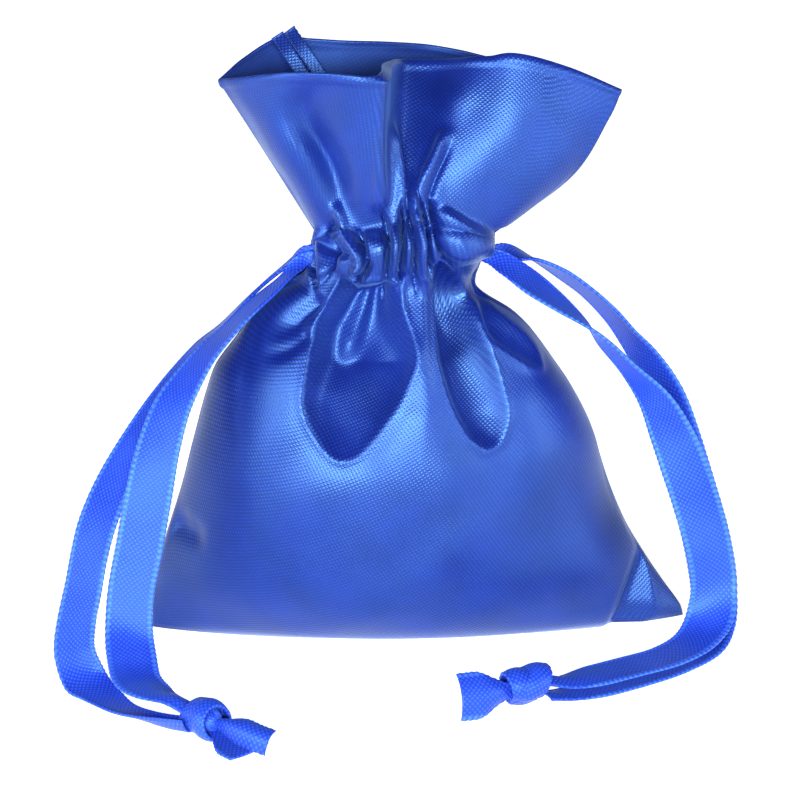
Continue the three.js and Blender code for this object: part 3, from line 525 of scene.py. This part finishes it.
def near_line(line, x, z):
    """Distance from each x, z to a polyline, the share of its length there, and the side."""
    best = np.full(x.shape, np.inf)
    share = np.zeros(x.shape)
    side = np.zeros(x.shape)
    steps = gaps(line)
    starts = np.concatenate([[0], np.cumsum(steps)])
    for k, (a, b) in enumerate(zip(line[:-1], line[1:])):
        along = b - a
        t = np.clip(((x - a[0]) * along[0] + (z - a[1]) * along[1]) / (along @ along), 0, 1)
        off_x = x - a[0] - t * along[0]
        off_z = z - a[1] - t * along[1]
        gap = np.hypot(off_x, off_z)
        closer = gap < best
        best = np.where(closer, gap, best)
        share = np.where(closer, (starts[k] + t * steps[k]) / starts[-1], share)
        side = np.where(closer, np.sign(along[0] * off_z - along[1] * off_x), side)
    return best, share, side


def inside(outline, x, z):
    """Whether each x, z lies inside a closed outline."""
    within = np.zeros(x.shape, bool)
    for a, b in zip(outline, np.roll(outline, -1, axis=0)):
        crosses = (a[1] > z) != (b[1] > z)
        reach = a[0] + (z - a[1]) / (b[1] - a[1] + TINY) * (b[0] - a[0])
        within ^= crosses & (x < reach)
    return within


# Meshes: a part is points in mm, quads and one UV in mm for each point.
def grid_quads(rows, columns, closed=False):
    r = np.arange(rows if closed else rows - 1)[:, None]
    c = np.arange(columns - 1)[None, :]
    nxt = (r + 1) % rows
    corners = [r * columns + c, r * columns + c + 1, nxt * columns + c + 1, nxt * columns + c]
    return np.stack([np.broadcast_to(q, (len(r), columns - 1)) for q in corners], -1).reshape(-1, 4)


def shell_quads(rows, columns):
    """Quads of a flattened tube of closed rows, shut along both its ends."""
    ends = []
    for k in range(rows // 2 - 1):
        for end in (0, columns - 1):
            ends.append([row * columns + end for row in (k, k + 1, rows - 2 - k, rows - 1 - k)])
    return np.concatenate([grid_quads(rows, columns, closed=True), np.array(ends)])


def join(parts):
    points, quads, uvs, start = [], [], [], 0
    for part_points, part_quads, part_uvs in parts:
        points.append(part_points.reshape(-1, 3))
        quads.append(part_quads + start)
        uvs.append(part_uvs.reshape(-1, 2))
        start += len(points[-1])
    return np.concatenate(points), np.concatenate(quads), np.concatenate(uvs)


def add_piece(name, parts, material, weld=False):
    """A piece of joined parts; weld joins points that lie on each other, as where a ring closes."""
    points, quads, uvs = join(parts)
    mesh = bpy.data.meshes.new(name)
    mesh.from_pydata((points * MM).tolist(), [], quads.tolist())
    layer = mesh.uv_layers.new(name="cloth")
    order = np.empty(len(mesh.loops), int)
    mesh.loops.foreach_get("vertex_index", order)
    layer.data.foreach_set("uv", uvs[order].ravel())
    bm = bmesh.new()
    bm.from_mesh(mesh)
    if weld:
        bmesh.ops.remove_doubles(bm, verts=bm.verts, dist=WELD)
    bmesh.ops.recalc_face_normals(bm, faces=bm.faces)
    bm.to_mesh(mesh)
    bm.free()
    mesh.polygons.foreach_set("use_smooth", np.ones(len(mesh.polygons), bool))
    mesh.materials.append(material)
    piece = bpy.data.objects.new(name, mesh)
    bpy.context.collection.objects.link(piece)
    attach(piece, "root")
    return piece


# Materials.
class Nodes:
    """The node tree of a material or world, with a short way to add and link nodes."""

    def __init__(self, owner, shader="Principled BSDF"):
        owner.use_nodes = True
        self.owner = owner
        self.tree = owner.node_tree
        self.shader = self.tree.nodes[shader]

    def set_shader(self, values):
        for key, value in values.items():
            self.feed(self.shader, key, value)

    def add(self, kind, inputs=None, **settings):
        node = self.tree.nodes.new("ShaderNode" + kind)
        for key, value in settings.items():
            setattr(node, key, value)
        for key, value in (inputs or {}).items():
            self.feed(node, key, value)
        return node

    def feed(self, node, key, value):
        if isinstance(value, bpy.types.NodeSocket):
            self.tree.links.new(value, node.inputs[key])
        else:
            node.inputs[key].default_value = value

    def compute(self, operation, *values):
        return self.add("Math", dict(enumerate(values)), operation=operation).outputs[0]

    def spread(self, value, start, stop, low=0.0, high=1.0, easing="LINEAR"):
        """Spreads a value from start to stop over low to high."""
        return self.add("MapRange", {
            "Value": value, "From Min": start, "From Max": stop, "To Min": low, "To Max": high,
        }, interpolation_type=easing).outputs[0]

    def wave(self, uv, angle, period):
        """Threads as bands at an angle to the cloth's U, period in mm."""
        turned = self.add("Mapping", {"Vector": uv, "Rotation": (0, 0, math.radians(angle))})
        scale = 2 * math.pi / (WAVE_RADIANS * period)
        return self.add("TexWave", {"Vector": turned.outputs[0], "Scale": scale}).outputs["Fac"]


def edge_dashes(nodes, uv):
    """Loops along a ribbon's edges: 1 on each loop, 0 away from the edges."""
    split = nodes.add("SeparateXYZ", {0: uv}).outputs
    band = nodes.spread(nodes.compute("ABSOLUTE", split["X"]), *DASH_FROM)
    turn = nodes.compute("MULTIPLY", split["Y"], 2 * math.pi / PICOT)
    loop = nodes.spread(nodes.compute("SINE", turn), -DASH_SOFT, DASH_SOFT, low=DASH_BETWEEN)
    return nodes.compute("MULTIPLY", band, loop)


def blend(nodes, factor, first, second):
    """A colour between two, each a colour or a socket."""
    mixed = nodes.add("Mix", {"Factor": factor}, data_type="RGBA")
    sockets = [s for s in mixed.inputs if s.type == "RGBA"]
    for socket, colour in zip(sockets, (first, second)):
        if isinstance(colour, bpy.types.NodeSocket):
            nodes.tree.links.new(colour, socket)
        else:
            socket.default_value = (*colour, 1)
    return next(s for s in mixed.outputs if s.type == "RGBA")


def woven(name, colours, weave, bump, roughness, sheen, anisotropy, refraction, dashes=None):
    nodes = Nodes(bpy.data.materials.new(name))
    uv = nodes.add("UVMap", uv_map="cloth").outputs[0]
    height = nodes.compute("MULTIPLY", *(nodes.wave(uv, angle, period) for angle, period in weave))
    cloud = nodes.add("TexNoise", {
        "Vector": uv, "Scale": CLOUD["scale"], "Detail": CLOUD["detail"],
    }).outputs["Fac"]
    tone = nodes.spread(nodes.compute("ADD", height, cloud), *TONE_RANGE)
    colour = blend(nodes, tone, *colours)
    if dashes is not None:
        loops = edge_dashes(nodes, uv)
        colour = blend(nodes, loops, colour, dashes)
        height = nodes.compute("ADD", height, loops)
    grain = nodes.add("Bump", {"Height": height, "Strength": bump, "Distance": BUMP_DEPTH * MM})
    nodes.set_shader({
        "Base Color": colour,
        "Roughness": nodes.spread(cloud, *GLOSS_RANGE, roughness - GLOSS_SPREAD, roughness + GLOSS_SPREAD),
        "Normal": grain.outputs[0],
        "Tangent": nodes.add("Tangent", direction_type="UV_MAP", uv_map="cloth").outputs[0],
        "Anisotropic": anisotropy,
        "Sheen Weight": sheen,
        "Sheen Roughness": SHEEN_ROUGHNESS,
        "Sheen Tint": SHEEN_TINT,
        "Specular Tint": GLOSS_TINT,
        "Specular IOR Level": 1.0,
        "IOR": refraction,
    })
    return nodes.owner


# Ribbons.
def constant(value):
    return lambda start, end: value + 0 * start


def strip(route, half_width, cup=constant(0.0)):
    """A flat band along a route; half_width and cup are functions of the distances from its start
    and to its end. Returns the part and its centre line."""
    table = np.array([(*centre, *across) for centre, across in route], float)
    length = gaps(spline(table[:, :3], MEASURE_STEPS)).sum()
    count = int(length / RIBBON_STEP)
    fine = spline(table, count)
    centre, across = fine[:, :3], fine[:, 3:]
    along = np.linspace(0, length, count)
    tangent = unit(np.gradient(centre, axis=0))
    across = unit(across - (across * tangent).sum(1, keepdims=True) * tangent)
    normal = np.cross(tangent, across)
    out = np.abs(ACROSS)
    picot = PICOT_HEIGHT * (0.5 + 0.5 * np.cos(2 * np.pi * along / PICOT))
    reach = ACROSS * half_width(along, length - along)[:, None]
    reach = reach + np.sign(ACROSS) * (out == 1) * picot[:, None]
    lift = cup(along, length - along)[:, None] * (ACROSS ** 2 - CUP_LEVEL)
    middle = centre[:, None] + reach[..., None] * across[:, None] + lift[..., None] * normal[:, None]
    bead_start, bead_top, bead_end = BEAD
    bead = 1 + BEAD_RISE * smooth(bead_start, bead_top, out) - smooth(bead_top, bead_end, out)
    half_thick = (RIBBON_THICK / 2 * bead)[:, None] * normal[:, None]
    ring = np.concatenate([middle + half_thick, (middle - half_thick)[:, ::-1]], axis=1)
    uv = side_by_side(reach, along[:, None])
    uvs = np.concatenate([uv, uv[:, ::-1]], axis=1)
    loops = np.swapaxes(ring, 0, 1)
    return (loops, shell_quads(len(loops), count), np.swapaxes(uvs, 0, 1)), centre


def narrowing(share, length, distance):
    return share + (1 - share) * smooth(0, length, distance)


def strand_width(start, end, strand):
    leaving = narrowing(EXIT_SHARE, strand["spread"], start)
    return RIBBON_WIDTH / 2 * np.minimum(leaving, narrowing(KNOT_SHARE, strand["taper"], end))


def tail_width(start, tail):
    return tail["half"] * narrowing(TAIL_SHARE, TAIL_LENGTH, start)


def knot_core(place, along):
    """The bundle inside a knot's turns."""
    rings, spokes = CORE_GRID
    offset = -np.cos(np.linspace(0, np.pi, rings))[:, None]
    angle = np.linspace(0, 2 * np.pi, spokes)
    radius = KNOT_CORE["radius"] * np.sqrt(np.maximum(0, 1 - offset ** 2))
    spoke = UP * np.cos(angle)[:, None] + np.cross(along, UP) * np.sin(angle)[:, None]
    line = place + KNOT_CORE["half_length"] * offset[..., None] * along
    uv = side_by_side(KNOT_CORE["weave_radius"] * angle, KNOT_CORE["half_length"] * offset)
    return line + radius[..., None] * spoke, grid_quads(rings, spokes), uv


def knot_turn(place, along, turn):
    """A band round the knot whose first end is tucked under its last."""
    start, clear, dip, end = np.pi * np.array(TURN_ANGLES)
    route = []
    for angle in np.linspace(start, end, TURN_STEPS):
        share = smooth(start, clear, angle) - TURN_DIP * smooth(dip, end, angle)
        radius = turn["radius"] * (TURN_INNER + (1 - TURN_INNER) * share)
        offset = turn["at"] + turn["lean"] * radius * math.cos(angle)
        spoke = math.cos(angle) * UP + math.sin(angle) * np.cross(along, UP)
        route.append((place + offset * along + radius * spoke, along))
    part, _ = strip(route, constant(turn["half"]), cup=constant(TURN_CROWN))
    return part


def make_tails(material):
    tails = {}
    for name, tail in TAILS.items():
        part, _ = strip(tail["route"], lambda start, end: tail_width(start, tail),
                        cup=lambda start, end: tail["cup"] * smooth(0, TAIL_CUP, start))
        tails[name] = add_piece(name + "_ribbon", [part], material)
        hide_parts(name)
    return tails


def make_knots(material):
    knots = {}
    for name, knot in KNOTS.items():
        place = np.array(knot["place"])
        along = unit(np.array(knot["along"], float))
        parts = [knot_core(place, along)]
        parts += [knot_turn(place, along, turn) for turn in knot["turns"]]
        knots[name] = add_piece(name + "_ribbon", parts, material, weld=True)
        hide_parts(name)
    return knots


def make_ribbons(material):
    on_ends = {**make_tails(material), **make_knots(material)}
    for name, strand in STRANDS.items():
        part, centre = strip(strand["route"], lambda start, end: strand_width(start, end, strand),
                             cup=lambda start, end: strand["cup"] * (1 - smooth(0, KNOT_CUP, end)))
        piece = add_piece(name + "_strand", [part], material)
        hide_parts(name)


# Cloth panels.
def sack_points(side, s, z):
    lens = section("lens", z)
    spread = LENS_SPREAD * smooth(ROUND, POINTED, lens)
    u = (1 - spread) * np.sin(s * np.pi / 2) + spread * s
    left, right = section("left", z), section("right", z)
    x = (left + right) / 2 + u * (right - left) / 2
    slit = np.maximum(0, section("slit", z))
    y = SEAM_GAP + slit + section("depth", z) * np.maximum(0, 1 - u * u) ** lens
    droop = DROOP * smooth(DROOP_FROM, CASING_HIGH, z) * u * u
    return side_by_side(x, side * y, z - droop)


def base_grid(name, side):
    """The smooth cloth before its folds, row by row from the bottom fold to the rim."""
    s = np.linspace(-1, 1, COLUMNS + 1)[None, :]
    foot = sack_points(side, s, np.array([[0.0]]))
    share = np.linspace(0, 1, BASE_ROWS + 1)[:-1, None]
    base = side_by_side(
        foot[..., 0] * (FOLD_SHARE + (1 - FOLD_SHARE) * share),
        side * SEAM_GAP + (foot[..., 1] - side * SEAM_GAP) * share,
        0 * share)
    heights = np.concatenate([
        np.linspace(0, SACK_SPLIT, SACK_ROWS[0] + 1),
        np.linspace(SACK_SPLIT, CASING_HIGH, SACK_ROWS[1] + 1)[1:],
    ])[:, None]
    sack = sack_points(side, s, heights)
    levels = [sack[-1]]
    for rows in RUFFLE[name].values():
        rows = np.array(rows)
        levels.append(np.stack([cubic(rows[:, 0], column, s[0]) for column in rows[:, 1:].T], -1))
    shares = np.array([0, *RUFFLE[name]])
    share = np.linspace(0, 1, RUFFLE_ROWS + 1)[1:]
    ruffle = cubic_rows(shares, np.stack(levels), share)
    return np.concatenate([base, sack, ruffle])


def grid_normals(points, side):
    along = np.gradient(points, axis=1)
    up = np.gradient(points, axis=0)
    return unit(np.cross(along, up)) * -side


def stitch_row(name, row, x):
    line = np.array(STITCHES[name][row])
    return np.interp(x, line[:, 0], line[:, 1])


def pleat_height(name, x, z):
    low, high = stitch_row(name, "low", x), stitch_row(name, "high", x)
    valleys = [np.interp(z, PLEAT_LEVELS, valley) for valley, *_ in PLEATS[name]]
    height = np.zeros(x.shape)
    for left, right, (_, top, crown, below, above) in zip(valleys, valleys[1:], PLEATS[name]):
        share = (x - left) / (right - left)
        round_part = np.sqrt(np.clip(1 - np.abs(2 * share - 1) ** crown, 0, 1))
        start = smooth(low - below, low + PLEAT_START, z)
        end = 1 - smooth(high + PLEAT_END[0], high + PLEAT_END[1] + above, z)
        rise = (top + PLEAT_VALLEY) * round_part - PLEAT_VALLEY
        height += np.where((share > 0) & (share <= 1), rise * start * end, 0)
    for row in (low, high):
        height -= STITCH_DENT * np.exp(-((z - row) / STITCH_WIDTH) ** 2)
    return height


def scoop_heights(name, x, z):
    """All scoops of a panel: what each takes away inside its rims, and the roll around them."""
    dug = np.zeros(x.shape)
    sink = np.zeros(x.shape)
    for deepest, soft_left, soft_right, roll, *rims in SCOOPS[name]:
        left, right = (spline(rim, RIM_STEPS) for rim in rims)
        outline = np.concatenate([left, right[::-1]])
        within = inside(outline, x, z)
        to_left, _, _ = near_line(left, x, z)
        to_right, _, _ = near_line(right, x, z)
        gap = np.minimum(to_left, to_right)
        fall = (1 - np.exp(-to_left / soft_left)) * (1 - np.exp(-to_right / soft_right))
        fade = 1 - smooth(*SCOOP_FADE, z - stitch_row(name, "low", x))
        lowest, highest = outline[:, 1].min(), outline[:, 1].max()
        rise = np.clip((z - lowest) / (highest - lowest), 0, 1)
        depth = deepest * (SCOOP_FOOT + (1 - SCOOP_FOOT) * rise)
        crease = RIM_EDGE * np.exp(-(gap / RIM_WIDTH) ** 2)
        dug += (crease - np.where(within, depth * fall, 0)) * fade
        sink = np.maximum(sink, roll * np.where(within, 1, np.exp(-gap / SINK_WIDTH)) * fade)
    return dug - sink


def fold_height(x, z, height, left, right, fade, line):
    gap, share, side = near_line(spline(line, FOLD_STEPS), x, z)
    width = np.where(side > 0, left, right)
    window = smooth(0, fade[0], share) * smooth(0, fade[1], 1 - share)
    return height * window * np.exp(-(gap / width) ** 2)


def unevenness(x, z):
    """Slack in the cloth: broad low waves in a few directions."""
    height = np.zeros(x.shape)
    for k, (angle, wavelength, size, slant) in enumerate(SLACK):
        angle = math.radians(angle)
        turns = 2 * np.pi / wavelength
        slow = turns * (z * slant - x) / SLACK_BEND["stretch"] + SLACK_BEND["phase"] * k
        along = turns * (x * math.cos(angle) + z * math.sin(angle)) + SLACK_PHASE * k
        height += size * np.sin(along + SLACK_BEND["size"] * np.sin(slow))
    return height * smooth(*SLACK_RISE, z)


def blur(field):
    """Each value half itself and half the mean of its four neighbours."""
    wide = np.pad(field, 1, mode="edge")
    return field / 2 + (wide[:-2, 1:-1] + wide[2:, 1:-1] + wide[1:-1, :-2] + wide[1:-1, 2:]) / 8


def flatten_ear(rows):
    """Presses the front panel's ear into a plane that leans back, and the base half below it."""
    wall = rows[BASE_ROWS:]
    crease = np.array(EAR["crease"])
    x, depth, z = wall[..., 0], -wall[..., 1], wall[..., 2]
    beyond = x - np.interp(z, crease[:, 0], crease[:, 1])
    share = smooth(*EAR["width"], beyond) * (1 - smooth(*EAR["top"], z))
    plane = EAR["foot"] - EAR["lean"] * np.maximum(0, z - EAR["foot_height"])
    pressed = depth - share * np.maximum(0, depth - plane)
    rows[:BASE_ROWS, :, 1] *= pressed[0] / depth[0]
    wall[..., 1] = -pressed


def panel_height(name, rows):
    """How far each point of a panel stands off the smooth cloth."""
    x, z = rows[..., 0], rows[..., 2]
    height = scoop_heights(name, x, z) + pleat_height(name, x, z) + unevenness(x, z)
    for fold in FOLDS[name]:
        height += fold_height(x, z, *fold)
    height[:BASE_ROWS] = 0
    height = blur(height)
    s = np.linspace(-1, 1, COLUMNS + 1)
    height *= smooth(0, SEAM_FADE, 1 - np.abs(s))
    height[-HEM_ROWS:] += HEM_HEIGHT * np.sin(np.linspace(0, np.pi, HEM_ROWS))[:, None]
    return height


def panel_faces(rows, height, side):
    """Both faces of the cloth and the outer one's normals; it stays on its side and above the floor."""
    outer = rows + height[..., None] * grid_normals(rows, side)
    normal = grid_normals(outer, side)
    inner = outer - CLOTH_THICK * normal
    nearest = np.full(len(rows), SEAM_GAP / 3)
    nearest[-RUFFLE_ROWS:] -= RUFFLE_CROSSING * np.linspace(0, 1, RUFFLE_ROWS)
    for face in (outer, inner):
        face[..., 1] = side * np.maximum(nearest[:, None], side * face[..., 1])
        face[..., 2] = np.maximum(face[..., 2], 0)
    return outer, inner, normal


def rim_arc(outer, inner, normal):
    """Rows that close the cloth round its rim."""
    turn = np.linspace(0, np.pi, RIM_ROWS + 2)[1:-1, None, None]
    middle = (outer[-1:] + inner[-1:]) / 2
    upward = unit(outer[-1:] - outer[-3:-2])
    return middle + CLOTH_THICK / 2 * (np.cos(turn) * normal[-1:] + np.sin(turn) * upward)


def cloth_uv(rows):
    """Lengths along the cloth: across from its middle and up from the bottom fold."""
    u = np.pad(np.cumsum(gaps(rows, axis=1), axis=1), ((0, 0), (1, 0)))
    v = np.pad(np.cumsum(gaps(rows), axis=0), ((1, 0), (0, 0)))
    middle = COLUMNS // 2
    return np.stack([u - u[:, middle:middle + 1], v], -1)


def panel(name, side):
    rows = base_grid(name, side)
    if name == "front":
        flatten_ear(rows)
    outer, inner, normal = panel_faces(rows, panel_height(name, rows), side)
    loop = np.concatenate([outer, rim_arc(outer, inner, normal), inner[::-1]])
    uv = cloth_uv(rows)
    uvs = np.concatenate([uv, np.repeat(uv[-1:], RIM_ROWS, axis=0), uv[::-1]])
    return loop, shell_quads(len(loop), COLUMNS + 1), uvs


def inner_faces(count):
    """Which of a panel piece's count faces are the inside of its cloth."""
    rows = BASE_ROWS + sum(SACK_ROWS) + 1 + RUFFLE_ROWS
    number = np.arange(count)
    return (number >= (rows + RIM_ROWS) * COLUMNS) & (number < (2 * rows + RIM_ROWS) * COLUMNS)


def allowance(points, across):
    part, _ = strip([(point, across) for point in points], constant(ALLOWANCE_HALF))
    return part


def make_panels(material, wrong_side_shaded, facing):
    for name, side in (("front", -1), ("back", 1)):
        parts = [panel(name, side), *(allowance(**row) for row in ALLOWANCES[name])]
        piece = add_piece(name + "_satin", parts, material)
        # the inner faces take the inside finish, whose darker colour is painted shade of the pouch's inside
        piece.data.materials.append(wrong_side_shaded)
        inner = inner_faces(len(piece.data.polygons))
        piece.data.polygons.foreach_set("material_index", inner.astype(int))
        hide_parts(name + "_panel")


# What the casing hides.
def channel(angle, z, out):
    """A point of the oval that is out outside the facing; angle 0 is the front."""
    half = (FACING["right"] - FACING["left"]) / 2 + out
    x = (FACING["right"] + FACING["left"]) / 2 + half * np.sin(angle)
    y = -(FACING["depth"] + out) * np.cos(angle)
    droop = DROOP * smooth(DROOP_FROM, CASING_HIGH, z) * np.sin(angle) ** 2
    return side_by_side(x, y, z - droop)


def make_facing(material):
    rows, columns = FACING_GRID
    angle = np.linspace(0, 2 * np.pi, columns)[None, :]
    z = np.linspace(FACING["low"], FACING["high"], rows)[:, None]
    wave = FACING["pleat_height"] * np.cos(FACING["pleats"] * angle)
    outer, inner = (channel(angle, z, wave - inset) for inset in (0, CLOTH_THICK))
    uv = side_by_side(FACING["weave_radius"] * angle, z)
    loop, uvs = np.concatenate([outer, inner[::-1]]), np.concatenate([uv, uv[::-1]])
    part = (loop, grid_quads(len(loop), columns, closed=True), uvs)
    piece = add_piece("casing_facing_satin", [part], material, weld=True)
    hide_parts("casing_facing")
    return piece


def make_runs(material):
    for name, run in RUNS.items():
        angles = run["opening"] + np.linspace(RUN_GAP, 2 * np.pi - RUN_GAP, RUN_STEPS)
        route = [(channel(a, np.array(run["height"]), RUN_OUTSIDE), UP) for a in angles]
        part, _ = strip(route, constant(RUN_HALF), cup=constant(RUN_CUP))
        piece = add_piece(name + "_folded", [part], material)
        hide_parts(name)


# Camera, floor, light and world.
def make_camera():
    azimuth = math.radians(CAMERA_AZIMUTH)
    elevation = math.radians(CAMERA_ELEVATION)
    back = Vector((math.sin(azimuth) * math.cos(elevation), -math.cos(azimuth) * math.cos(elevation),
                   math.sin(elevation)))
    data = bpy.data.cameras.new("camera")
    data.sensor_width = SENSOR
    data.lens = SENSOR * CAMERA_DISTANCE / VIEW_WIDTH
    data.clip_start = CLIP_START
    camera = bpy.data.objects.new("camera", data)
    camera.location = CAMERA_TARGET + back * CAMERA_DISTANCE
    camera.rotation_euler = (-back).to_track_quat("-Z", "Y").to_euler()
    bpy.context.collection.objects.link(camera)
    bpy.context.scene.camera = camera


def make_floor():
    bpy.ops.mesh.primitive_plane_add(size=FLOOR["size"], location=(0, 0, -FLOOR["drop"]))
    floor = bpy.context.object
    floor.name = "floor"
    nodes = Nodes(bpy.data.materials.new("floor"))
    nodes.set_shader({
        "Base Color": FLOOR["colour"], "Roughness": FLOOR["roughness"],
        "Emission Color": WHITE, "Emission Strength": FLOOR["glow"],
    })
    floor.data.materials.append(nodes.owner)


def make_light(name, place, target, size, power):
    data = bpy.data.lights.new(name, "AREA")
    data.shape = "RECTANGLE"
    data.size, data.size_y = size
    data.energy = power
    light = bpy.data.objects.new(name, data)
    light.location = place
    light.rotation_euler = (Vector(target) - Vector(place)).to_track_quat("-Z", "Y").to_euler()
    bpy.context.collection.objects.link(light)


def make_world():
    nodes = Nodes(bpy.data.worlds.new("studio"), shader="Background")
    place = nodes.add("TexCoord").outputs["Generated"]
    height = nodes.add("SeparateXYZ", {0: place}).outputs["Z"]
    glow = nodes.spread(height, *HORIZON_RANGE, *HORIZON_GLOW, easing="SMOOTHSTEP")
    nodes.set_shader({"Color": WHITE, "Strength": glow})
    bpy.context.scene.world = nodes.owner
    bpy.context.scene.view_settings.view_transform = "Standard"


make_camera()
ribbon, satin, satin_inside_shaded = (woven(name, **finish) for name, finish in FINISHES.items())
make_ribbons(ribbon)
# the panels' insides and the facing take the inside finish, its colour darkened by painted shade
make_panels(satin, satin_inside_shaded, make_facing(satin_inside_shaded))
make_runs(ribbon)
make_floor()
make_world()
for light in LIGHTS:
    make_light(**light)

bpy.context.view_layer.update()
